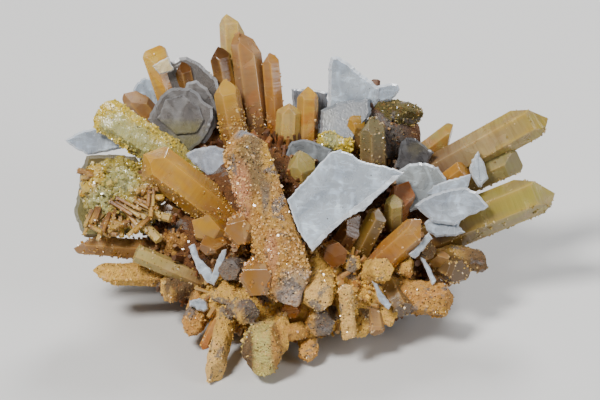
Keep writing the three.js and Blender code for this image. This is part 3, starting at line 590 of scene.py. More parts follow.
def lemonFinish():
    finish = Finish("lemon_crust", {
        "IOR": 1.55, "Subsurface Weight": 0.2, "Subsurface Radius": (1.0, 0.8, 0.3),
        "Subsurface Scale": 0.0015, "Transmission Weight": 0.2, "Specular IOR Level": 1,
    })
    mix, between, cloud = finish.mix, finish.between, finish.cloud
    place, tone = finish.attribute("local"), finish.attribute("tone", "Color")
    hollowShade = finish.attribute("hollowShade", "Fac")
    lumps = cloud(place, 0.55, 4, 0.6)
    fine = cloud(place, 1.7, 4, 0.3)
    ripples = cloud(finish.stretched(place, (2.2, 0.5, 0.5)), 0.9, 3, 0.4)
    milky = mix(between(lumps, 0.5, 0.68) * 0.35, tone, lemonColours["milky"])
    yellow = mix(between(fine, 0.52, 0.66) * 0.35, milky, lemonColours["yellow"])
    green = mix(between(lumps, 0.47, 0.34) * 0.5, yellow, lemonColours["green"])
    # Darker in the hollows: painted shade.
    deep = mix(between(hollowShade, 0.2, 0.9) * 0.45, green, lemonColours["hollowShade"])
    specks = (finish.cells(place, 0.8) < 0.17) * between(lumps, 0.5, 0.44)
    finish.show("Base Color", mix(specks, deep, lemonColours["speck"]))
    finish.show("Roughness", between(fine, 0.35, 0.65) * 0.25 + 0.12)
    finish.show("Normal", finish.bump(fine * 0.4 + ripples + lumps * 0.5, 0.0006, 0.5))
    return finish.material


crustColours = {
    "yellow": (0.62, 0.38, 0.07, 1), "sandy": (0.40, 0.20, 0.05, 1), "warm": (0.76, 0.40, 0.16, 1),
    "grey": (0.20, 0.175, 0.16, 1), "stain": (0.30, 0.11, 0.02, 1), "hollowShade": (0.14, 0.05, 0.012, 1),
    "speck": (0.025, 0.016, 0.01, 1),
}


# The dull crust: the warm drifts keep off its dark lumps.
def crustFinish():
    finish = Finish("iron_crust", {
        "IOR": 1.54, "Subsurface Weight": 0.1, "Subsurface Radius": (1.0, 0.5, 0.25),
        "Subsurface Scale": 0.0012, "Specular IOR Level": 0.4,
    })
    mix, between, cloud = finish.mix, finish.between, finish.cloud
    place, tone = finish.attribute("local"), finish.attribute("tone", "Color")
    light = between(finish.parted(tone)[0], 0.08, 0.4)
    hollowShade = finish.attribute("hollowShade", "Fac")
    mottle = cloud(place, 0.9, 5, 0.3)
    broad = cloud(place, 0.17, 3, 0.5)
    drift = cloud(place, 0.11, 2, 1.0)
    grain = cloud(place, 3.2, 3)
    yellow = mix(between(drift, 0.45, 0.62) * light * 0.4, tone, crustColours["yellow"])
    sandy = mix(between(grain, 0.5, 0.6) * 0.2, yellow, crustColours["sandy"])
    warm = mix(between(mottle, 0.5, 0.7) * light * 0.55, sandy, crustColours["warm"])
    grey = between(broad + grain * 0.12, 0.64, 0.70)
    cool = mix(grey * 0.85, warm, crustColours["grey"])
    stain = mix(between(mottle, 0.47, 0.3) * 0.5, cool, crustColours["stain"])
    # Darker in the hollows, deep rust in hue: painted shade.
    dark = mix(between(hollowShade, 0.15, 0.9) * 0.65, stain, crustColours["hollowShade"])
    specks = (finish.cells(place, 1.0) < 0.2) * between(broad, 0.40, 0.5)
    finish.show("Base Color", mix(specks, dark, crustColours["speck"]))
    finish.show("Roughness", 0.78 - grey * 0.5)
    finish.show("Normal", finish.bump(grain + mottle, 0.0009, 1))
    return finish.material


def druseFinish():
    finish = Finish("druse_grains", {
        "IOR": 1.55, "Subsurface Weight": 0.2, "Subsurface Radius": (1.0, 0.6, 0.3),
        "Subsurface Scale": 0.0008, "Specular IOR Level": 0.6,
    })
    tone = finish.attribute("tone", "Color")
    mottle = finish.cloud(finish.objectPlace(), 900, 2)
    warmer = finish.between(mottle, 0.4, 0.7) * 0.2
    finish.show("Base Color", finish.mix(warmer, tone, (0.9, 0.66, 0.26, 1)))
    finish.show("Roughness", finish.between(mottle, 0.3, 0.7) * 0.25 + 0.1)
    return finish.material


# Veils, wisps and feathers multiply a plate's own colour; the last three cover it.
calciteColours = {
    "clear": (0.74, 0.75, 0.78, 1), "milky": (1.25, 1.25, 1.25, 1), "wispy": (1.32, 1.37, 1.42, 1),
    "streak": (1.5, 1.55, 1.6, 1), "stain": (0.44, 0.38, 0.18, 1), "growth": (0.19, 0.165, 0.05, 1),
    # The rim colour lightens the plates' bevelled rims: painted glow of light through them.
    "rim": (0.86, 0.91, 0.98, 1), "speck": (0.05, 0.04, 0.03, 1),
}


def calciteFinish():
    finish = Finish("pale_calcite", {
        "IOR": 1.6, "Subsurface Weight": 0.35, "Subsurface Radius": (0.8, 0.9, 1.0),
        "Subsurface Scale": 0.0015, "Transmission Weight": 0.3, "Specular IOR Level": 0.45,
    })
    mix, between, cloud = finish.mix, finish.between, finish.cloud
    place, tone = finish.attribute("local"), finish.attribute("tone", "Color")
    rim = finish.attribute("rim", "Fac")
    above, growth = finish.parted(finish.attribute("within"))[1:]
    veil = cloud(place, 0.1, 3, 1.0)
    wisps = cloud(finish.stretched(place, (1, 0.6, 1)), 0.24, 4, 1.6)
    feather = cloud(finish.stretched(place, (0.5, 1.3, 1)), 0.4, 4, 2.0)
    stain = between(cloud(place, 0.11, 3, 0.6), 0.6, 0.74)
    clear = mix(between(veil, 0.52, 0.36) * 0.9, tone, calciteColours["clear"], "MULTIPLY")
    milky = mix(between(veil, 0.5, 0.68) * 0.8, clear, calciteColours["milky"], "MULTIPLY")
    wispy = mix(between(wisps, 0.51, 0.64) * 0.9, milky, calciteColours["wispy"], "MULTIPLY")
    streaked = mix(between(feather, 0.53, 0.63) * 0.6, wispy, calciteColours["streak"], "MULTIPLY")
    stained = mix(stain * 0.2, streaked, calciteColours["stain"])
    grown = between(feather * 0.5 - above + growth, 1.2, 1.5) * 0.75
    # Rims are mixed towards the rim colour: painted glow.
    rimGlowColour = mix(rim * 0.7, mix(grown, stained, calciteColours["growth"]), calciteColours["rim"])
    specks = (finish.cells(place, 0.5) < 0.08) * between(veil, 0.52, 0.58)
    finish.show("Base Color", mix(specks, rimGlowColour, calciteColours["speck"]))
    finish.show("Roughness", 0.25 + between(wisps, 0.4, 0.65) * 0.2)
    relief = finish.bump(veil + feather * 0.5, 0.0005, 0.1)
    finish.show("Normal", finish.bump(cloud(place, 1.8, 2), 0.00012, 0.25, relief))
    return finish.material


# Calcite: outlines across and up the view. Under a name is one plate, or plates grown through each
# other.
calcite = {
    "central_blade": [
      {
        "outline": [
          (-3.2, 0), (7.5, 11.8), (10, 12.5), (13, 11.2), (14.5, 10), (18, 9), (22.5, 8), (25.8, 6.8),
          (23.8, 5), (19.5, 1.2), (15.8, -2.5), (13.8, -3), (11.2, -4.8), (7.5, -8), (3, -12.8), (-0.4, -7.6),
        ],
        "near": 18, "lean": (-0.12, -0.42), "thick": 1.9, "rim": 0.35, "bevel": 0.15, "terraced": False,
      },
      # A thin pale strip laid just in front, along the blade's lower-right edge: painted glow of light
      # through that edge.
      {
        "outline": [
          (25.2, 6.3), (23.6, 4.9), (19.4, 1.2), (16.2, -2.1), (11.4, -4.6), (7.6, -7.9), (3.1, -12.3),
          (2.3, -11.6), (6.7, -7.1), (10.6, -3.8), (18.6, 2.1), (23, 5.9),
        ],
        "near": 19.92, "lean": (-0.12, -0.42), "thick": 1.96, "rim": 0.15, "bevel": 0.06, "terraced": False,
        "tone": (0.70, 0.76, 0.82),
      },
    ],
    "shadow_blade": [
      {
        "outline": [(-4.8, 9.8), (-2.2, 14.5), (0.8, 15.2), (3.8, 14.4), (8, 12.6), (6.4, 8.4), (0, 6.6)],
        "near": 4.4, "lean": (0, -0.2), "thick": 1.6, "bevel": 0.2,
      },
    ],
    "tall_blade": [
      {
        "outline": [
          (7.2, 34.2), (8, 35.8), (9.5, 36), (11.2, 35), (13, 33.5), (15.5, 31.5), (17.6, 30),
          (19.8, 28), (19.8, 24.6), (17, 20), (11.2, 16.8), (6.6, 17.5), (7, 26),
        ],
        "near": -3, "lean": (0.1, 0.25), "thick": 2.6, "rim": 0.8, "terraced": False,
      },
      {
        "outline": [(5.2, 22.4), (10, 24.6), (17.5, 25.4), (17.8, 21.5), (13.4, 15), (6, 14.6), (4.8, 17)],
        "near": -0.6, "lean": (0.12, -0.3), "thick": 2.4, "rim": 0.7, "tone": (0.125, 0.14, 0.16),
      },
      {
        "outline": [
          (17.5, 28.2), (22.4, 29.2), (24.4, 29), (25.1, 27.5), (24, 26.1), (22.8, 24.8), (18.4, 24.4),
        ],
        "near": -3.6, "thick": 2.2, "rim": 0.6,
      },
    ],
    "far_plate": [
      {
        "outline": [(-2, 27.8), (2.5, 28), (6.8, 27), (7, 21), (1, 16), (-2, 17)],
        "near": -6.4, "thick": 1.5,
      },
    ],
    "round_plates": [
      {
        "outline": [
          (-33.8, 33.6), (-31, 35.4), (-28.5, 35.8), (-25, 34.2), (-20.8, 30.2), (-19.4, 25), (-20.6, 17.5),
          (-24, 12.6), (-30, 13), (-34, 22.5),
        ],
        "near": -7, "lean": (0, 0.15), "thick": 2.8, "rim": 0.8, "bevel": 0.15,
      },
      {
        "outline": [
          (-28.5, 29.5), (-26, 30), (-23.2, 28), (-20.8, 23.8), (-21, 18.8), (-23.8, 13.4), (-29, 14),
        ],
        "near": -3.8, "thick": 4.2, "rim": 0.7, "bevel": 0.1,
      },
      {
        "outline": [
          (-38, 20.2), (-36.5, 23.5), (-34.5, 26.4), (-32.5, 27.8), (-30, 28.2), (-27.5, 28), (-25.5, 26.8),
          (-23.8, 24.4), (-21.8, 23.2), (-21.8, 20.5), (-23, 17.2), (-25, 14.2), (-28, 12), (-32, 13.6),
          (-35.5, 17),
        ],
        "near": -0.6, "lean": (0.05, -0.05), "thick": 3, "rim": 0.7, "bevel": 0.15,
        "growth": 0.8, "rimGlowShare": 0.7,
      },
      {
        "outline": [
          (-35.6, 20.4), (-33.6, 25), (-29.5, 26.4), (-25.2, 23.2), (-24, 20), (-26, 16.8), (-31, 16.4),
        ],
        "near": 0.7, "lean": (0.05, -0.05), "thick": 2.4, "rim": 0.35, "bevel": 0.1,
        "growth": 0.9, "rimGlowShare": 0.35,
      },
    ],
    "blue_plate": [
      {
        "outline": [
          (-42, 27.5), (-40.8, 29.5), (-39.2, 30.8), (-35, 30.6), (-31, 26), (-31, 20), (-36, 19.6),
        ],
        "near": -8.6, "lean": (0.1, 0), "thick": 1.8,
      },
    ],
    "spear": [
      {
        "outline": [
          (-58.5, 14.8), (-56.2, 16.5), (-53.8, 17.5), (-50.5, 18), (-45, 18.4), (-40, 16), (-42, 13.6),
          (-47, 12.3), (-50, 11.7), (-53, 11.3), (-55, 12.2), (-57, 13.5),
        ],
        "near": 2.4, "lean": (0, 0.1), "thick": 2.6, "rim": 0.5, "bevel": 0.25, "terraced": False,
      },
    ],
    "left_plate": [
      {
        "outline": [
          (-53.2, 11), (-54.5, 8), (-55, 4.5), (-56.5, -3.2), (-54, -9.2), (-47.5, -9.8), (-41.2, -7),
          (-37, -1.2), (-37, 6.2), (-41.2, 10.8), (-47.5, 11.4),
        ],
        "near": 3, "lean": (0.06, 0), "thick": 3, "rim": 0.9, "growth": 1.4,
      },
    ],
    "low_plate": [
      {
        "outline": [(-29, 11.2), (-26.2, 12.8), (-21.8, 13.6), (-18, 12.4), (-17.5, 7), (-22.8, 6)],
        "near": 3.4, "lean": (0, -0.25), "thick": 1.8,
      },
    ],
    "upper_grey_plate": [
      {
        "outline": [
          (25.2, 14.2), (26.4, 15.8), (28.5, 15.4), (30.5, 14.2), (33.5, 11.8), (31.5, 8.6), (27, 6),
          (24, 8),
        ],
        "near": -1, "lean": (0, -0.1), "thick": 1.9,
      },
    ],
    "side_plate": [
      {
        "outline": [
          (23.6, 6.6), (27, 9), (31.2, 9.3), (34.5, 8.2), (36.5, 4.8), (35.8, 2.5), (33.5, 0.5),
          (31.2, -1.6), (27.5, -3), (24.5, 1.2),
        ],
        "near": 7.6, "lean": (0, -0.1), "thick": 1.9, "rim": 0.6,
      },
    ],
    "right_blades": [
      {
        "outline": [
          (28.4, -1.4), (32, 1), (36.2, 2.5), (41.2, 3.2), (43.8, 2), (46.9, -1.6), (45, -2.8), (42, -3.8),
          (38.4, -6.4), (33, -5.6),
        ],
        "near": 9.8, "lean": (0.03, -0.12), "thick": 2, "rim": 0.6,
      },
      {
        "outline": [(31, 1.4), (33, 3.6), (38, 5.2), (42.6, 6.6), (41.6, 2.4), (36, 0.4)],
        "near": 8.3, "lean": (0.05, 0.1), "thick": 2.2, "rim": 0.4,
      },
      {
        "outline": [
          (31, -5.8), (34, -3.2), (40.6, -3), (39.6, -6.4), (41, -8), (38.8, -9), (33.8, -9.2), (31.6, -7.6),
        ],
        "near": 8.5, "lean": (0, -0.3), "thick": 2.4, "rim": 0.5,
      },
    ],
    "arrowhead": [
      {
        "outline": [(44.5, 12.2), (46, 9), (46.9, 5.5), (45, 2.9), (43.2, 5.2), (42.2, 7.5), (43, 10)],
        "near": 2.1, "lean": (0.1, -0.15), "thick": 2.2, "rim": 0.5,
      },
    ],
    "v_blades": [
      {
        "outline": [
          (-27.6, -11.4), (-26.2, -10.8), (-25, -14.2), (-22.4, -16.8), (-20.8, -20), (-21.4, -21.2),
          (-23, -20.4), (-25.6, -17),
        ],
        "near": 17.2, "lean": (0, -0.2), "thick": 1.8, "rim": 0.35,
      },
      {
        "outline": [
          (-19.4, -12.4), (-18.2, -12.1), (-18.6, -14.6), (-20.2, -19.4), (-21.3, -21.3), (-22.6, -20),
        ],
        "near": 17.6, "lean": (0, -0.2), "thick": 1.8, "rim": 0.25,
      },
    ],
    "white_chip": [
      {
        "outline": [
          (-27.6, -25), (-25, -24.4), (-23.2, -24.8), (-22.4, -27), (-23.8, -27.9), (-25.5, -27.3),
          (-27.2, -26.2),
        ],
        "near": 14.4, "lean": (0, -0.2), "thick": 2.6, "rim": 0.4,
      },
    ],
    "small_blade": [
      {
        "outline": [(31.8, -8), (32.8, -9.4), (30, -13), (28.5, -14.6), (27, -13.5), (29.5, -10.6)],
        "near": 17, "lean": (0, 0), "thick": 1.9, "rim": 0.4,
      },
    ],
    "needle": [
      {
        "outline": [(29.8, -14.2), (31.2, -14.8), (33.8, -20), (32.8, -21.2)],
        "near": 15.4, "lean": (0, 0), "thick": 2, "rim": 0.25,
      },
    ],
    "front_sliver": [
      {
        "outline": [(17.8, -19.8), (19, -20.8), (21, -24), (22.7, -25.8), (21.8, -27.1), (19.6, -25)],
        "near": 20.4, "lean": (0, -0.1), "thick": 2.2, "rim": 0.25,
      },
    ],
    "window_rhomb": [
      {
        "outline": [(-36.9, 33.6), (-34, 35.4), (-32.9, 35.9), (-31.6, 32.5), (-35.2, 31.4)],
        "near": -2.3, "lean": (0, 0), "thick": 1.9, "rim": 0.3,
      },
    ],
    "far_blade": [
      {
        "outline": [(-2, 20), (4, 26), (13, 24), (17, 14), (12, 6), (2, 8)],
        "near": -30, "lean": (0.3, 0.35), "thick": 3, "rim": 0.9,
      },
    ],
    "far_rhomb": [
      {
        "outline": [(-32, 8), (-25, 18), (-15, 17), (-14, 6), (-22, -2), (-30, 0)],
        "near": -30, "lean": (-0.3, 0.3), "thick": 3.2, "rim": 1,
      },
    ],
    "far_low_plate": [
      {
        "outline": [(16, 0), (23, 7), (32, 5), (33, -6), (26, -10), (17, -8)],
        "near": -30, "lean": (0.5, 0), "thick": 2.8, "rim": 0.9,
      },
    ],
}

plateLook = {
    "segment": 0.7, "chipping": 0.09, "rim": 0.5, "bevelShare": 0.42, "patternDrift": 100,
    "terracedSpan": 9, "terraceShrink": (0.93, 0.92, 0.86, 0.8), "terraceShift": 0.06,
    # The last two on the next line set how strong the painted rim glow is on terrace walls and on pale
    # plates.
    "terraceRise": 0.03, "terraceNarrow": 0.992, "flatFace": 0.97, "terraceGlow": 0.2, "rimGlowScale": 2.1,
}
paleTone = (0.43, 0.48, 0.53)
plateTones = {
    "round_plates": (0.145, 0.13, 0.12), "upper_grey_plate": (0.06, 0.055, 0.055),
    # shadow_blade's dark tone is painted shade: it lies in shadow.
    "shadow_blade": (0.12, 0.13, 0.135), "blue_plate": (0.27, 0.32, 0.38), "left_plate": (0.13, 0.09, 0.015),
    "far_plate": (0.16, 0.165, 0.18), "side_plate": (0.28, 0.30, 0.30), "low_plate": (0.33, 0.36, 0.42),
    "window_rhomb": (0.66, 0.54, 0.30), "spear": (0.36, 0.40, 0.45), "right_blades": (0.38, 0.42, 0.465),
}


def sidesOf(outline):
    return zip(outline, outline[1:] + outline[:1])


# Points spaced evenly along a closed outline, its own corners kept.
def walkOutline(outline, step):
    places = []
    for a, b in sidesOf(outline):
        start, span = Vector(a), Vector(b) - Vector(a)
        count = max(1, round(span.length / step))
        places += [start + span * (k / count) for k in range(count)]
    return places


# A disc drawn to the plate's outline, its edge chipped.
def drawOutline(outline, height):
    turning = sum(x0 * y1 - x1 * y0 for (x0, y0), (x1, y1) in sidesOf(outline))
    places = walkOutline(outline if turning > 0 else outline[::-1], plateLook["segment"])
    clearSelection()
    bpy.ops.mesh.primitive_circle_add(vertices=len(places), radius=1, fill_type="NGON")
    piece = bpy.context.object
    for place, index in zip(places, piece.data.polygons[0].vertices):
        chip = rng.normal(0, plateLook["chipping"], 2)
        piece.data.vertices[index].co = (place.x + chip[0], place.y + chip[1], height)
    piece.data.update()
    return piece


# Thin growth terraces on the near face, each smaller and a little to one side.
def addTerraces(middle, span):
    for shrink in plateLook["terraceShrink"]:
        shift = rng.uniform(-plateLook["terraceShift"], plateLook["terraceShift"], 2) * span
        centre = (middle[0] + shift[0], middle[1] + shift[1], 0)
        rise, narrow = plateLook["terraceRise"], plateLook["terraceNarrow"]
        bpy.ops.mesh.extrude_region_move()
        bpy.ops.transform.resize(value=(shrink, shrink, 1), center_override=centre)
        bpy.ops.mesh.extrude_region_move(TRANSFORM_OT_translate={"value": (0, 0, rise)})
        bpy.ops.transform.resize(value=(narrow, narrow, 1), center_override=centre)


# One plate: its outline given thickness, a bevelled rim on both faces, and terraces.
def addPlate(plate, plateName):
    outline, thick, rim = plate["outline"], plate["thick"], plate.get("rim", plateLook["rim"])
    middle, span = np.mean(outline, axis=0), min(np.ptp(outline, axis=0))
    bevel = thick * plate.get("bevel", plateLook["bevelShare"])
    piece = drawOutline(outline, bevel - thick / 2)
    mesh = piece.data
    bpy.ops.object.mode_set(mode="EDIT")
    bpy.ops.mesh.select_mode(type="FACE")
    bpy.ops.mesh.select_all(action="SELECT")
    bpy.ops.mesh.extrude_region_move(TRANSFORM_OT_translate={"value": (0, 0, thick - 2 * bevel)})
    bpy.ops.mesh.inset(thickness=rim, depth=0, use_even_offset=False)
    bpy.ops.transform.translate(value=(0, 0, bevel))
    if span > plateLook["terracedSpan"] and plate.get("terraced", True):
        addTerraces(middle, span)
    bpy.ops.object.mode_set(mode="OBJECT")
    for polygon in mesh.polygons:
        polygon.select = len(polygon.vertices) > 6 and polygon.center.z < 0
    bpy.ops.object.mode_set(mode="EDIT")
    bpy.ops.mesh.inset(thickness=rim, depth=0, use_even_offset=False)
    bpy.ops.transform.translate(value=(0, 0, -bevel))
    bpy.ops.mesh.select_all(action="SELECT")
    bpy.ops.mesh.normals_make_consistent(inside=False)
    bpy.ops.object.mode_set(mode="OBJECT")
    mesh.update()
    dressPlate(mesh, plate, plateName, middle, span)
    return piece


# A plate's colour, its rims lightened with painted glow, its pattern, and its place in the specimen.
def dressPlate(mesh, plate, plateName, middle, span):
    points = meshPoints(mesh)
    rimGlowMask = np.zeros(len(mesh.loops))
    for polygon in mesh.polygons:
        if abs(polygon.normal.z) < plateLook["flatFace"]:
            outer = polygon.center.z < plate["thick"] / 2
            rimGlowMask[list(polygon.loop_indices)] = 1 if outer else plateLook["terraceGlow"]
    tone = np.array(plate.get("tone", plateTones.get(plateName, paleTone)))
    # How strong the painted rim glow is: more on pale plates, less where a plate asks for less.
    rimGlowShare = min(1, plateLook["rimGlowScale"] * tone.mean()) * plate.get("rimGlowShare", 1)
    setAttribute(mesh, "rim", "FLOAT", "CORNER", rimGlowMask * rimGlowShare)
    setAttribute(mesh, "tone", "FLOAT_COLOR", "CORNER", np.tile((*tone, 1), (len(rimGlowMask), 1)))
    drift = plateLook["patternDrift"]
    setAttribute(mesh, "local", "FLOAT_VECTOR", "POINT", points + rng.uniform(-drift, drift, 3))
    within = np.column_stack(((points[:, :2] - middle) / span, np.full(len(points), plate.get("growth", 0))))
    setAttribute(mesh, "within", "FLOAT_VECTOR", "POINT", within)
    points[:, 2] += plateDepth(plate, points)
    mesh.vertices.foreach_set("co", (points @ display.T + lift).astype(np.float32).ravel())
    mesh.update()


# How near the eye the plate's middle plane lies at each place.
def plateDepth(plate, places):
    middle = np.mean(plate["outline"], axis=0)
    return plate["near"] + (places[:, :2] - middle) @ np.array(plate.get("lean", (0, 0)))


stainedQuartz, lemonCrust, ironCrust = quartzFinish(), lemonFinish(), crustFinish()
druseGrains, paleCalcite = druseFinish(), calciteFinish()


def handOver(piece, material, slotName, *nodes):
    piece.data.materials.clear()
    piece.data.materials.append(material)
    piece.data.transform(Matrix.Scale(mm, 4))
    piece.data.update()
    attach(piece, "root")
    if nodes:
        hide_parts(*nodes)


sharpRows = {
    "quartz_towers": towerRows, "quartz_left": leftRows, "quartz_centre": centreRows,
    "quartz_right": rightRows, "quartz_front": frontRows, "quartz_far_side": farRows,
}
sharpGroups = {}
for groupName, rows in sharpRows.items():
    sharpGroups[groupName] = {row[0]: addCrystal(row) for row in rows}
    print(groupName, "modelled:", len(rows), "crystals")

# Slender crystals fanning out of the druse over the left plate: tip, root and width.
needleRows = [
    ((-34.6, 7.4, 8.4), (-43.6, 4.6, 6), 1.5), ((-34.2, 5, 9), (-43.6, 3.2, 6), 1.7),
    ((-35.2, 2.8, 9.8), (-44, 2, 6), 1.6), ((-34, 0.6, 10.2), (-43.4, 1, 6), 1.8),
    ((-35.6, -2, 10.6), (-43.6, 0.2, 6), 1.7), ((-38.2, -4.6, 10.6), (-44, 0, 6), 1.9),
    ((-40.6, -8.2, 9.6), (-44, -1, 6), 1.7), ((-44.4, -9.2, 9), (-45, -1.6, 6), 1.6),
    ((-48, -9, 8.6), (-46, -1.6, 6), 1.8), ((-52.4, -6.8, 8.2), (-47, -1.4, 5.6), 1.7),
    ((-55.4, 7.4, 6.6), (-47, 5, 5), 1.8), ((-55, 1.6, 7), (-47, 2.4, 5.4), 1.6),
]
# More of them, finer, in sprays: where a spray starts, where it ends, how many.
sprays = [
    ((-42, 4.5, 7.5), (-34.6, 6, 9.6), 5), ((-42, 1, 8), (-34.6, -2.4, 10.6), 6),
    ((-43, -1.5, 8), (-38.5, -7, 10), 4), ((-47, -3.5, 8), (-48.5, -8.2, 10.4), 5),
    ((-51, -2.5, 7.5), (-52.6, -6.4, 9.4), 4), ((-51, 8, 6.5), (-53.6, 8.6, 7.6), 2),
    ((-50, -6, 8.4), (-46, -7.8, 10.6), 3), ((-43.6, -5, 8.4), (-48.6, -7, 10.8), 3),
    ((-36.6, -3.4, 9.4), (-41, -7.6, 10.8), 2), ((-36, 2, 9.6), (-36, -3, 11.4), 3),
    ((-38.4, 6.6, 8.6), (-34.4, 3, 10.6), 3), ((-46, -1, 9.4), (-40, -4.6, 11.4), 3),
]
needleLook = {"scatter": (1.2, 1.4, 0.6), "rootScatter": 0.8, "width": (0.9, 1.5),
              "tones": ("amber", "straw", "tan", "gold")}
for start, end, count in sprays:
    for k in range(count):
        shift = rng.normal(0, needleLook["scatter"])
        tip = tuple(np.array(end) + shift)
        root = tuple(np.array(start) + shift * needleLook["rootScatter"])
        needleRows.append((tip, root, rng.uniform(*needleLook["width"])))
needles = {}
for i, (tip, root, width) in enumerate(needleRows):
    toneName = needleLook["tones"][i % len(needleLook["tones"])]
    row = (f"needle_{i}", tip, root, width, toneName, "tan",
           {"crown": "broken", "taper": 0.2, "frost": 0.6, "dust": 0.35, "stain": 0.15})
    needles[row[0]] = addCrystal(row)
sharpGroups["quartz_needles"] = needles
print("needles modelled:", len(needles))

# The matrix and all that is crusted over grows as one skin: each lump's centre and half sizes.
lumps = [
    ((1, 1, 11), (36, 25, 19)), ((-7, 6, 25), (24, 18, 15)), ((22, 6, 20), (19, 15, 13)),
    ((-22, -4, 15), (17, 14, 12)), ((0, -14, 13), (24, 14, 13)), ((-25, 15, 28), (12, 11, 13)),
    ((19, 17, 34), (11.5, 9.5, 12)),
]
leftLump = ((-44, -3.5, 29), (9.4, 5, 9))
frontFill = ((0, -22, 11), (25, 8.5, 8))
filler = {"count": 26, "centre": (0, 1, 14), "half": (34, 24, 19), "width": (2.6, 4.8), "reach": (2.5, 7.5),
          "highest": 0.96, "fall": 1.42, "lean": 0.9, "sunk": 0.72}


# A value from 0 to 1 that looks random but hangs on its number and its salt alone.
def scatterValue(i, salt):
    wave = math.sin(i * 12.9898 + salt * 78.233) * 43758.5453
    return wave - math.floor(wave)


# Small crystals that fill the matrix between the big ones, on a golden spiral round its middle.
def fillerRow(i):
    around = i * math.pi * (3 - math.sqrt(5))
    height = filler["highest"] - filler["fall"] * (i + 0.5) / filler["count"]
    ring = math.sqrt(1 - height * height)
    direction = np.array((ring * math.cos(around), ring * math.sin(around), height))
    surface = direction * np.array(filler["half"])
    lean = np.array([scatterValue(i, salt) - 0.5 for salt in (1, 2, 3)])
    outward = direction + lean * filler["lean"]
    outward /= np.linalg.norm(outward)
    (short, long), (narrow, wide) = filler["reach"], filler["width"]
    centre = np.array(filler["centre"])
    tip = centre + surface + outward * (short + (long - short) * scatterValue(i, 4))
    root = centre + surface * filler["sunk"]
    width = narrow + (wide - narrow) * scatterValue(i, 5)
    crown = "point" if scatterValue(i, 7) > 0.5 else "broken"
    return (f"filler_{i}", toView(tip), toView(root), width, "tan", "brown",
            {"roll": 60 * scatterValue(i, 6), "crown": crown})


def addLump(centre, half):
    clearSelection()
    bpy.ops.mesh.primitive_ico_sphere_add(subdivisions=4, radius=1)
    lump = bpy.context.object
    bpy.ops.object.mode_set(mode="EDIT")
    bpy.ops.transform.resize(value=half, center_override=(0, 0, 0))
    bpy.ops.transform.translate(value=centre)
    bpy.ops.object.mode_set(mode="OBJECT")
    return lump


def addModifier(piece, kind, settings):
    modifier = piece.modifiers.new(kind.lower(), kind)
    for key, value in settings.items():
        setattr(modifier, key, value)
    makeActive(piece)
    bpy.ops.object.modifier_apply(modifier=modifier.name)


# Crystals fused into one crusted skin: remeshed, roughened, thinned, and cut flat at the table.
def growCrust(pieces, name, crust):
    skin = join(pieces, name)
    addModifier(skin, "REMESH", {"mode": "VOXEL", "voxel_size": crust["voxel"]})
    for size, depth, strength in crust["rough"]:
        texture = bpy.data.textures.new(name, "CLOUDS")
        texture.noise_scale = size
        texture.noise_depth = depth
        addModifier(skin, "DISPLACE", {"texture": texture, "strength": strength, "mid_level": 0.5,
                                       "texture_coords": "LOCAL"})
    if "facets" in crust:
        addModifier(skin, "DECIMATE", {"ratio": crust["facets"]})
    if crust.get("cutFlat"):
        bpy.ops.object.mode_set(mode="EDIT")
        bpy.ops.mesh.select_all(action="SELECT")
        bpy.ops.mesh.bisect(plane_co=(0, 0, 0), plane_no=(0, 0, -1), use_fill=True, clear_outer=True)
        bpy.ops.object.mode_set(mode="OBJECT")
    settleOrder(skin.data)
    return skin


# How far each point of a skin lies in a hollow: 0 on a rise, 1 deep down.
def hollows(mesh, reach=3):
    points = meshPoints(mesh)
    ends = readMesh(mesh.edges, "vertices", 2, np.int32)
    both, other = ends.ravel(), ends[:, ::-1].ravel()
    count = np.bincount(both, minlength=len(points))[:, None]

    def spread(values):
        total = [np.bincount(both, values[other, k], len(points)) for k in range(values.shape[1])]
        return np.column_stack(total) / np.maximum(count, 1)

    around = points
    for _ in range(reach):
        around = spread(around)
    depth = ((around - points) * readMesh(mesh.vertices, "normal", 3)).sum(axis=1)
    return np.clip(depth / (2 * depth.std() + tiny), 0, 1)


# Distance of each point outside a crystal, less than nothing inside it.
def outsideOf(solid, points):
    return (points @ solid["normals"].T - solid["reach"]).max(axis=1)


# Each point's share of the way from the crystal's root to its tip.
def shareAlong(solid, points):
    return ((points - solid["root"]) @ solid["axis"]) / solid["length"]


crustDress = {"reach": 1.2, "patchEdge": 1.3}


# A skin takes the colours of the crystals inside it, then of the patches laid over it.
def dressCrust(skin, members, patches=(), bare="deep"):
    mesh = skin.data
    for name in [a.name for a in mesh.attributes if a.name in ("tone", "local", "look", "within")]:
        mesh.attributes.remove(mesh.attributes[name])
    points = meshPoints(mesh)
    nearest = np.full(len(points), crustDress["reach"])
    colours = np.tile(np.array(tones[bare]), (len(points), 1))
    for name in members:
        solid = solids[name]
        gap = np.abs(outsideOf(solid, points))
        share = np.clip(shareAlong(solid, points), 0, 1)[:, None]
        # The same fade to the foot colour: partly the root's own colour, partly painted shade.
        mine = solid["foot"] + (solid["tone"] - solid["foot"]) * np.clip(share * 1.6 - 0.3, 0, 1)
        closer = gap < nearest
        nearest[closer] = gap[closer]
        colours[closer] = mine[closer]
    for middle, reach, toneName in patches:
        offset = (points - np.array(seen(middle))) / np.array(reach)
        near = np.clip(crustDress["patchEdge"] - np.linalg.norm(offset, axis=1), 0, 1)[:, None]
        colours += (np.array(tones[toneName]) - colours) * np.clip(near * 2, 0, 1)
    setAttribute(mesh, "tone", "FLOAT_COLOR", "POINT", withAlpha(colours))
    setAttribute(mesh, "local", "FLOAT_VECTOR", "POINT", points)
    # How deep each point lies in a hollow, which the finishes use to paint shade.
    setAttribute(mesh, "hollowShade", "FLOAT", "POINT", hollows(mesh))


def namesOf(rows):
    return [row[0] for row in rows]


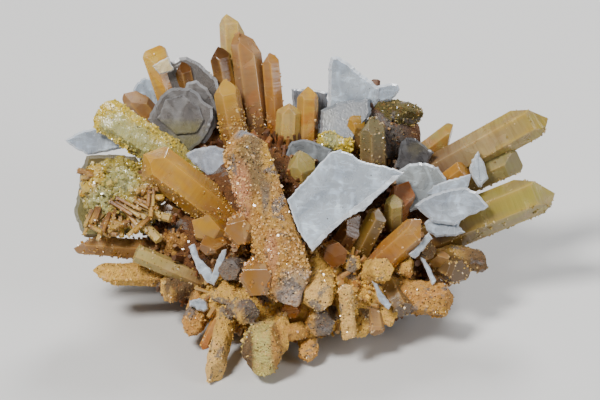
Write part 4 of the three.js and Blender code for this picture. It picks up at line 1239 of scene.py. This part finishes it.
# The giant across the front. A patch is its middle, its reach and its colour.
giantCrust = {"voxel": 0.42, "rough": ((2.4, 2, 0.5), (0.8, 3, 0.36))}
giantPatches = [
    ((1, -25, 29), (6.5, 4.6, 9), "frosted"), ((-8.6, 3, 19), (1.2, 9, 7), "grey"),
    ((-11, 9, 17), (5, 9, 8), "moss"), ((-1.5, 2, 15), (3.4, 17, 8), "tan"),
    ((-7.4, 10, 13), (2.6, 8, 6), "amber"), ((-14.5, 2, 14), (2.6, 15, 8), "pink"),
    ((-12, 17.5, 13), (4, 2.2, 6), "blueGrey"), ((-7, -14, 24), (1.8, 8, 6), "pink"),
]
giantSkin = growCrust([addCrystal(row, bevel=False) for row in giantRows], "giant_crystal", giantCrust)
dressCrust(giantSkin, namesOf(giantRows), giantPatches)

# The yellow growths. The milky patches down the middle are partly their pale colour, partly painted sheen on
# the glossy middle.
yellowCrust = {"voxel": 0.32, "rough": ((3.6, 2, 1.3), (1.5, 2, 0.6)), "facets": 0.14}
lemonPatches = [
    ((-46.5, 18.6, 10), (4.5, 3.2, 6), "milky"), ((-40.5, 15, 8), (4, 2.6, 6), "milky"),
    ((-34, 11.4, 7), (4, 2.2, 6), "milky"), ((-30, 9, 6), (5, 3, 6), "yellowGreen"),
    ((8, 16, 5), (2, 3, 5), "milky"),
]
lemonSkin = growCrust([addCrystal(row, bevel=False) for row in lemonRows], "lemon_crystal", yellowCrust)
dressCrust(lemonSkin, namesOf(lemonRows), lemonPatches)

# The lump over the left plate.
leftCrust = {"voxel": 0.4, "rough": ((2.6, 2, 2.4), (1.1, 3, 1.8)), "facets": 0.3}
leftPatches = [
    ((-50, 0, 9), (3, 2.5, 5), "milky"), ((-44.5, 5, 9), (3.5, 2.5, 5), "milky"),
    ((-47, -7, 9), (5, 2.5, 5), "tan"), ((-38, -2, 9), (3.5, 5, 6), "sand"),
    ((-52, 6, 8), (3, 3, 5), "gold"),
]
leftLumps = [leftLump, (seen((-45, 6.6, 5)), (8.4, 3.4, 3.8)), (seen((-51, 1, 5)), (3.4, 3, 5))]
leftDruse = growCrust([addLump(centre, half) for centre, half in leftLumps], "left_druse", leftCrust)
dressCrust(leftDruse, [], leftPatches, "yellowGreen")
print("giant, lemon crystal and left druse crusted")

# The skirt along the front.
skirtCrust = {"voxel": 0.34, "rough": ((3.4, 2, 0.7), (0.9, 3, 0.5)), "cutFlat": True, "facets": 0.5}
skirtPatches = [
    # The first patch lifts slab_front where the key light leaves it shaded: painted light.
    ((-21, -41, 24), (4, 7, 7), "apricot"), ((4.4, -23, 29), (3.4, 4, 5), "apricot"),
    ((-13, -38, 27), (1.6, 6, 8), "greyBrown"), ((-5.6, -35, 27), (1.8, 6, 8), "sand"),
    ((-28, -30, 12), (6, 8, 8), "salmon"), ((1, -36, 20), (5, 2.6, 8), "salmon"),
    ((31, -22, 15), (7, 4, 8), "salmon"), ((6, -31, 23), (2.6, 3, 6), "grey"),
    ((17, -25, 19), (2.6, 4, 6), "greyBrown"), ((-12, -26, 24), (4, 2.4, 6), "grey"),
    ((-30, -21, 10), (4, 2.4, 6), "greyBrown"),
]
skirtSkin = growCrust([addCrystal(row, bevel=False) for row in skirtRows], "crusted_skirt", skirtCrust)
dressCrust(skirtSkin, namesOf(skirtRows), skirtPatches, "brown")

# The matrix under everything.
groundCrust = {"voxel": 0.5, "rough": ((4, 2, 0.7), (1.3, 2, 0.6)), "cutFlat": True, "facets": 0.42}
groundPatches = [
    ((20, 14, 1), (9, 9, 9), "shade"), ((2, -27, 14), (42, 7.5, 16), "ochre"),
    ((0, 0, -42), (70, 44, 26), "tan"), ((-6, -6, -40), (12, 9, 16), "sand"),
    ((20, 6, -34), (10, 8, 14), "sand"), ((-28, 10, -30), (8, 8, 12), "sand"),
]
fillerRows = [fillerRow(i) for i in range(filler["count"])]
matrixPieces = [addCrystal(row, bevel=False) for row in fillerRows]
matrixPieces += [addLump(centre, half) for centre, half in lumps + [frontFill]]
groundSkin = growCrust(matrixPieces, "crusted_ground", groundCrust)
dressCrust(groundSkin, namesOf(fillerRows), groundPatches)
print("skirt and ground crusted:", [len(skin.data.polygons) for skin in (skirtSkin, groundSkin)], "faces")


# One grain of each habit, modelled once: a short six-sided double pyramid, a leaning cube, and the
# small pointed crystal that stands between the big ones.
def grainShapes():
    clearSelection()
    bpy.ops.mesh.primitive_cone_add(vertices=6, radius1=0.5, radius2=0, depth=0.62, end_fill_type="TRIFAN")
    spire = bpy.context.object
    editPicked(spire, lambda place: place.z < 0 and place.xy.length < 0.1)
    bpy.ops.transform.translate(value=(0, 0, -0.35))
    bpy.ops.object.mode_set(mode="OBJECT")
    clearSelection()
    bpy.ops.mesh.primitive_cube_add(size=0.72)
    block = bpy.context.object
    editPicked(block, lambda place: place.z > 0)
    bpy.ops.transform.translate(value=(0.2, 0.08, 0.06))
    bpy.ops.transform.resize(value=(0.8, 0.8, 1), center_override=(0.2, 0.08, 0.42))
    bpy.ops.mesh.select_all(action="SELECT")
    bpy.ops.mesh.quads_convert_to_tris()
    bpy.ops.object.mode_set(mode="OBJECT")
    clearSelection()
    bpy.ops.mesh.primitive_cylinder_add(vertices=6, radius=0.5, depth=1.7, end_fill_type="TRIFAN")
    point = bpy.context.object
    editPicked(point, lambda place: place.z > 0)
    bpy.ops.transform.resize(value=(0.84, 0.92, 1), center_override=(0, 0, 0.85))
    bpy.ops.object.mode_set(mode="OBJECT")
    editPicked(point, lambda place: place.z > 0 and place.xy.length < 0.1)
    bpy.ops.transform.translate(value=(0.08, 0.03, 0.62))
    bpy.ops.mesh.select_all(action="SELECT")
    bpy.ops.mesh.quads_convert_to_tris()
    bpy.ops.object.mode_set(mode="OBJECT")
    shapes = []
    for model in (spire, block, point):
        faces = np.array([list(polygon.vertices) for polygon in model.data.polygons])
        shapes.append((meshPoints(model.data), faces))
        bpy.data.objects.remove(model)
    return shapes


grainModels = grainShapes()


# Random places on a mesh, thicker where its faces weigh more: place, normal, triangle and face.
def polygonSamples(mesh, count, weights):
    mesh.calc_loop_triangles()
    corners = readMesh(mesh.loop_triangles, "vertices", 3, np.int32)
    owner = readMesh(mesh.loop_triangles, "polygon_index", kind=np.int32)
    points = meshPoints(mesh)
    a, b, c = (points[corners[:, k]] for k in range(3))
    cross = np.cross(b - a, c - a)
    area = np.linalg.norm(cross, axis=1) / 2 + 1e-12
    chance = area * weights[owner]
    chosen = rng.choice(len(corners), count, p=chance / chance.sum())
    u, v = rng.random((2, count, 1))
    folded = u + v > 1
    u, v = np.where(folded, 1 - u, u), np.where(folded, 1 - v, v)
    places = a[chosen] + u * (b[chosen] - a[chosen]) + v * (c[chosen] - a[chosen])
    return places, cross[chosen] / (2 * area[chosen, None]), corners[chosen], owner[chosen]


def patchiness(points, scale):
    return np.array([noise.noise(Vector(point) * scale) for point in points]) * 0.5 + 0.5


def smooth(value, low, high):
    share = np.clip((value - low) / (high - low), 0, 1)
    return share * share * (3 - 2 * share)


def insideOutline(places, outline):
    inside = np.zeros(len(places), bool)
    for (x0, y0), (x1, y1) in sidesOf(outline):
        crosses = (y0 > places[:, 1]) != (y1 > places[:, 1])
        slope = (x1 - x0) * (places[:, 1] - y0) / ((y1 - y0) or tiny) + x0
        inside ^= crosses & (places[:, 0] < slope)
    return inside


buried = {"depth": 0.05, "lump": 0.96, "floor": 0.3, "plate": 0.25}


def insidePlates(points):
    places = toView(points)
    hit = np.zeros(len(points), bool)
    for plate in sum(calcite.values(), []):
        close = np.abs(places[:, 2] - plateDepth(plate, places)) < plate["thick"] / 2 + buried["plate"]
        hit |= close & insideOutline(places, plate["outline"])
    return hit


# What lies inside a crystal other than its own, or inside a calcite plate.
def insideCrystals(points, own):
    inside = np.zeros(len(points), bool)
    for name, solid in solids.items():
        if name in own:
            continue
        near = np.flatnonzero(np.linalg.norm(points - solid["middle"], axis=1) < solid["radius"])
        if len(near):
            inside[near] |= outsideOf(solid, points[near]) < -buried["depth"]
    return inside | insidePlates(points)


def insideLumps(points):
    inside = points[:, 2] < buried["floor"]
    for centre, half in lumps + [leftLump]:
        offset = (points - np.array(centre)) / np.array(half)
        inside |= (offset ** 2).sum(axis=1) < buried["lump"]
    return inside


druse = {
    "perMm2": 4, "size": 0.44, "spread": 0.32, "bright": 0.3, "sink": 0.02, "blocks": 0.3,
    "stretch": (0.7, 1.3), "tall": (1, 1, 1.25), "sway": 0.5, "swayPoint": 0.3,
    "below": 1.3, "belowPoint": 2.4, "floor": 0.02, "shades": (0.5, 1.15), "edgeWeight": 9,
    "edgeSize": 0.75, "stand": 0.15, "paleTone": (0.85, 0.62, 0.36), "palePull": 0.6,
}


# Real mesh grains at the given places; small ones in two habits, or else small pointed crystals.
def growGrains(name, places, normals, colours, sizes, small=True):
    below = druse["below"] if small else druse["belowPoint"]
    clear = places[:, 2] - sizes * below > druse["floor"]
    places, normals, colours, sizes = (part[clear] for part in (places, normals, colours, sizes))
    count = len(places)
    habit = (rng.random(count) < druse["blocks"]).astype(int) if small else np.full(count, 2)
    axis = normals + rng.normal(0, druse["sway"] if small else druse["swayPoint"], (count, 3))
    axis /= np.linalg.norm(axis, axis=1)[:, None]
    side = np.cross(axis, rng.normal(0, 1, (count, 3)))
    side /= np.linalg.norm(side, axis=1)[:, None]
    third = np.cross(axis, side)
    vertices, faces, shades, start = [], [], [], 0
    for kind, (shape, shapeFaces) in enumerate(grainModels):
        mine = np.flatnonzero(habit == kind)
        stretch = rng.uniform(*druse["stretch"], (len(mine), 3)) * druse["tall"]
        local = shape[None] * stretch[:, None] * sizes[mine, None, None]
        turned = (local[..., 0:1] * side[mine, None] + local[..., 1:2] * third[mine, None]
                  + local[..., 2:3] * axis[mine, None])
        turned += (places[mine] + normals[mine] * (sizes[mine, None] * druse["sink"]))[:, None]
        vertices.append(turned.reshape(-1, 3))
        firsts = np.arange(len(mine))[:, None, None] * len(shape) + start
        faces.append((shapeFaces[None] + firsts).reshape(-1, 3))
        shades.append(np.repeat(colours[mine], len(shape), axis=0))
        start += len(mine) * len(shape)
    vertices, faces, shades = np.vstack(vertices), np.vstack(faces), np.vstack(shades)
    mesh = bpy.data.meshes.new(name)
    mesh.vertices.add(len(vertices))
    mesh.vertices.foreach_set("co", vertices.astype(np.float32).ravel())
    mesh.loops.add(faces.size)
    mesh.loops.foreach_set("vertex_index", faces.astype(np.int32).ravel())
    mesh.polygons.add(len(faces))
    mesh.polygons.foreach_set("loop_start", np.arange(0, faces.size, 3, dtype=np.int32))
    mesh.update(calc_edges=True)
    mesh.shade_flat()
    piece = bpy.data.objects.new(name, mesh)
    bpy.context.scene.collection.objects.link(piece)
    setAttribute(mesh, "tone", "FLOAT_COLOR", "POINT", withAlpha(shades))
    setAttribute(mesh, "local", "FLOAT_VECTOR", "POINT", vertices)
    if not small:
        setAttribute(mesh, "look", "FLOAT_VECTOR", "POINT", np.tile((0.3, 0.7, 0), (len(vertices), 1)))
        setAttribute(mesh, "within", "FLOAT_VECTOR", "POINT", np.tile((0, 0, 0.6), (len(vertices), 1)))
    handOver(piece, druseGrains if small else stainedQuartz, "quartz")
    print(name, "grown:", count, "grains")


# Where second growth sits on a clean crystal: round its root, on its edges, on its lower side.
def crystalGrains(name, piece):
    solid, mesh = solids[name], piece.data
    look = solid["look"]
    weights = np.ones(len(mesh.polygons))
    strips = edgeStrips(mesh, solid, Matrix.Identity(4))
    weights[strips] = 1 + druse["edgeWeight"] * look.get("edge", 0)
    area = sum(polygon.area * weight for polygon, weight in zip(mesh.polygons, weights))
    count = int(area * druse["perMm2"])
    places, normals, corners, owner = polygonSamples(mesh, count, weights)
    patch = patchiness(places, 0.35)
    down = np.clip(-(normals @ display[:, 1]), 0, 1)
    rootReach = look.get("root", 0.2)
    ragged = shareAlong(solid, places) + (patch - 0.5) * 0.5
    beads = look.get("edge", 0) * smooth(patch, 0.3, 0.6) * np.clip(0.25 + 1.3 * down, 0, 1)
    chance = np.full(count, look.get("dust", 0.008))
    for other in (1 - smooth(ragged, rootReach - 0.12, rootReach + 0.03),
                  look.get("low", 0) * down * smooth(patch, 0.35, 0.6), np.where(strips[owner], beads, 0)):
        chance = np.maximum(chance, other)
    stood = places + normals * druse["stand"]
    keep = (rng.random(count) < chance) & ~insideCrystals(stood, (name,)) & ~insideLumps(stood)
    places, normals = places[keep], normals[keep]
    colours = (solid["foot"] + solid["tone"]) * 0.5 * rng.uniform(*druse["shades"], (len(places), 1))
    pale = rng.random(len(places)) < druse["bright"]
    colours[pale] += (np.array(druse["paleTone"]) - colours[pale]) * druse["palePull"]
    sizes = druse["size"] * look.get("grain", 1) * np.exp(rng.normal(0, druse["spread"], len(places)))
    sizes[strips[owner[keep]]] *= druse["edgeSize"]
    return places, normals, colours, sizes


for groupName, members in sharpGroups.items():
    grains = zip(*[crystalGrains(name, piece) for name, piece in members.items()])
    growGrains(groupName.replace("quartz", "druse"), *map(np.concatenate, grains))

crustDruse = {"floor": 0.4, "clear": 0.2, "shades": (0.6, 1.2), "palePull": 0.65, "darkShare": 0.25}


# Grains over a crusted skin: thick where its recipe says, thin elsewhere.
def crustGrains(skin, recipe, members):
    mesh = skin.data
    clear = recipe.get("clear", crustDruse["clear"])
    area = sum(polygon.area for polygon in mesh.polygons)
    count = int(area * recipe["perMm2"])
    places, normals, corners = polygonSamples(mesh, count, np.ones(len(mesh.polygons)))[:3]
    chance = recipe["least"] + (1 - recipe["least"]) * smooth(patchiness(places, 0.25), *recipe["edge"])
    if "cover" in recipe:
        chance = chance * recipe["cover"](places, normals)
    keep = (rng.random(count) < chance) & (places[:, 2] > crustDruse["floor"])
    keep &= ~insideCrystals(places + normals * clear, members)
    keep &= places[:, 2] + np.minimum(normals[:, 2], 0) * clear * 2 > crustDruse["floor"]
    places, normals, corners = places[keep], normals[keep], corners[keep]
    base = readMesh(mesh.attributes["tone"].data, "color", 4)[corners[:, 0], :3].astype(float)
    colours = base * rng.uniform(*crustDruse["shades"], (len(places), 1)) * recipe["lift"]
    pale = rng.random(len(places)) < recipe["bright"]
    colours[pale] += (np.array(recipe["paleTone"]) - colours[pale]) * crustDruse["palePull"]
    dark = rng.random(len(places)) < recipe["dark"]
    colours[dark] *= crustDruse["darkShare"]
    sizes = recipe["size"] * np.exp(rng.normal(0, recipe.get("spread", druse["spread"]), len(places)))
    return places, normals, colours, sizes


# The giant's right facets and both its ends are nearly bare.
def giantCover(places, normals):
    share = shareAlong(solids["giant"], places)
    right = smooth(normals[:, 0], 0.2, 0.5) * (1 - smooth(share, 0.5, 0.75))
    ends = np.maximum(smooth(share, 0.87, 0.93), 1 - smooth(share, 0.06, 0.12))
    return (1 - 0.93 * right) * (1 - 0.94 * ends)


# The yellow growth is granular along its edges and at its tip, and smooth between.
def lemonCover(places, normals):
    solid = solids["yellow_left"]
    root = toView(solid["root"])
    offset = toView(places) - root
    axis = toView(solid["root"] + solid["axis"]) - root
    flat = axis[:2] / np.linalg.norm(axis[:2])
    side = np.abs(offset[:, 0] * flat[1] - offset[:, 1] * flat[0])
    return np.maximum(smooth(side, 2.4, 3.6), smooth(shareAlong(solid, places), 0.86, 0.95)) + 0.06


darkDruseSpot, redHollowSpot = ((27, 18), 9), ((-19, 1), 7)  # each a middle in the view and a radius


def nearSpot(places, spot):
    middle, radius = spot
    return np.linalg.norm(toView(places)[:, :2] - middle, axis=1) < radius


# Skirt grains are thin, but thick on the dark lump at the back right.
def skirtCover(places, normals):
    return np.where(nearSpot(places, darkDruseSpot), 6, 1)


# Small points stand everywhere but round that lump and in the red hollow at the left.
def pointCover(places, normals):
    return np.where(nearSpot(places, darkDruseSpot) | nearSpot(places, redHollowSpot), 0, 1)


giantRecipe = {"perMm2": 6.5, "least": 0.3, "edge": (0.32, 0.5), "size": 0.57, "bright": 0.36, "dark": 0.12,
               "paleTone": (0.84, 0.52, 0.22), "lift": 0.95, "cover": giantCover}
lemonRecipe = {"perMm2": 5, "least": 0.4, "edge": (0.35, 0.55), "size": 0.55, "bright": 0.3, "dark": 0.04,
               "paleTone": (0.74, 0.52, 0.03), "lift": 1, "cover": lemonCover}
leftRecipe = {"perMm2": 4, "least": 0.05, "edge": (0.46, 0.6), "size": 0.58, "bright": 0.3, "dark": 0.12,
              "paleTone": (0.56, 0.42, 0.11), "lift": 0.8, "spread": 0.5}
skirtRecipe = {"perMm2": 4, "least": 0.2, "edge": (0.42, 0.6), "size": 0.38, "bright": 0.3, "dark": 0.12,
               "paleTone": (0.78, 0.50, 0.17), "lift": 1, "cover": skirtCover}
groundRecipe = {"perMm2": 1.7, "least": 0.2, "edge": (0.42, 0.6), "size": 0.6, "bright": 0.12, "dark": 0.2,
                "paleTone": (0.60, 0.32, 0.10), "lift": 1.2}
pointRecipe = {"perMm2": 0.22, "least": 0.6, "edge": (0.3, 0.5), "size": 1.0, "bright": 0.3, "dark": 0.05,
               "paleTone": (0.38, 0.17, 0.03), "lift": 0.95, "clear": 2, "cover": pointCover}
growGrains("druse_giant", *crustGrains(giantSkin, giantRecipe, namesOf(giantRows)))
growGrains("druse_lemon", *crustGrains(lemonSkin, lemonRecipe, namesOf(lemonRows)))
growGrains("druse_left_plate", *crustGrains(leftDruse, leftRecipe, []))
growGrains("druse_skirt", *crustGrains(skirtSkin, skirtRecipe, namesOf(skirtRows)))
growGrains("druse_ground", *crustGrains(groundSkin, groundRecipe, namesOf(fillerRows)))
growGrains("small_points", *crustGrains(groundSkin, pointRecipe, namesOf(fillerRows)), small=False)

for groupName, members in sharpGroups.items():
    whole = join(list(members.values()), groupName)
    handOver(whole, stainedQuartz, "quartz", "quartz_cluster")
for skin, material, sharpness in ((giantSkin, ironCrust, 180), (lemonSkin, lemonCrust, 18),
                                  (leftDruse, lemonCrust, 18), (skirtSkin, ironCrust, 30),
                                  (groundSkin, ironCrust, 34)):
    handOver(skin, material, "quartz", "quartz_cluster")
    makeActive(skin)
    bpy.ops.object.shade_smooth_by_angle(angle=math.radians(sharpness))
print("quartz handed over")

for plateName, plates in calcite.items():
    blade = join([addPlate(plate, plateName) for plate in plates], plateName)
    handOver(blade, paleCalcite, "calcite", "calcite_" + plateName)
print("calcite handed over")


def addFloor():
    clearSelection()
    bpy.ops.mesh.primitive_circle_add(vertices=96, radius=3, fill_type="NGON")
    floor = bpy.context.object
    floor.name = "floor"
    bpy.ops.object.mode_set(mode="EDIT")
    bpy.ops.mesh.extrude_region_move(TRANSFORM_OT_translate={"value": (0, 0, -0.02)})
    bpy.ops.mesh.select_all(action="SELECT")
    bpy.ops.mesh.normals_make_consistent(inside=False)
    bpy.ops.object.mode_set(mode="OBJECT")
    finish = Finish("pale_floor", {"Roughness": 0.6, "Specular IOR Level": 0.3})
    mottle = finish.cloud(finish.objectPlace(), 3)
    finish.show("Base Color", finish.mix(mottle, (0.60, 0.60, 0.60, 1), (0.63, 0.63, 0.62, 1)))
    floor.data.materials.append(finish.material)


# Each light: where it stands, its size, power and colour. All look at the middle of the group.
lights = {
    "key": ((-0.45, -0.45, 0.9), 0.3, 17, (1, 0.98, 0.95)),
    "fill": ((0.75, -0.45, 0.45), 0.5, 4, (0.95, 0.97, 1)),
    "rim": ((0.2, 0.7, 0.6), 0.3, 7, (1, 1, 1)),
}
studio = {"target": (0, 0, 0.03), "world": (0.97, 0.98, 1, 1), "worldStrength": 0.2}


def addLight(name, place, size, power, colour):
    data = bpy.data.lights.new(name, "AREA")
    data.shape = "DISK"
    data.size = size
    data.energy = power
    data.color = colour
    light = bpy.data.objects.new(name, data)
    light.location = place
    light.rotation_euler = (Vector(studio["target"]) - Vector(place)).to_track_quat("-Z", "Y").to_euler()
    bpy.context.scene.collection.objects.link(light)


def addCamera():
    camera = bpy.data.objects.new("camera", bpy.data.cameras.new("camera"))
    distance, height = view["distance"], view["height"] * mm
    camera.location = (0, -distance * tiltCos, height + distance * tiltSin)
    camera.rotation_euler = (math.pi / 2 - view["tilt"], 0, 0)
    camera.data.sensor_width = view["sensor"]
    camera.data.lens = view["lens"]
    camera.data.clip_start = 0.01
    bpy.context.scene.collection.objects.link(camera)
    bpy.context.scene.camera = camera


addFloor()
for name, settings in lights.items():
    addLight(name, *settings)
addCamera()
world = bpy.data.worlds.new("studio")
bpy.context.scene.world = world
world.use_nodes = True
world.node_tree.nodes["Background"].inputs["Color"].default_value = studio["world"]
world.node_tree.nodes["Background"].inputs["Strength"].default_value = studio["worldStrength"]
print("stage set")
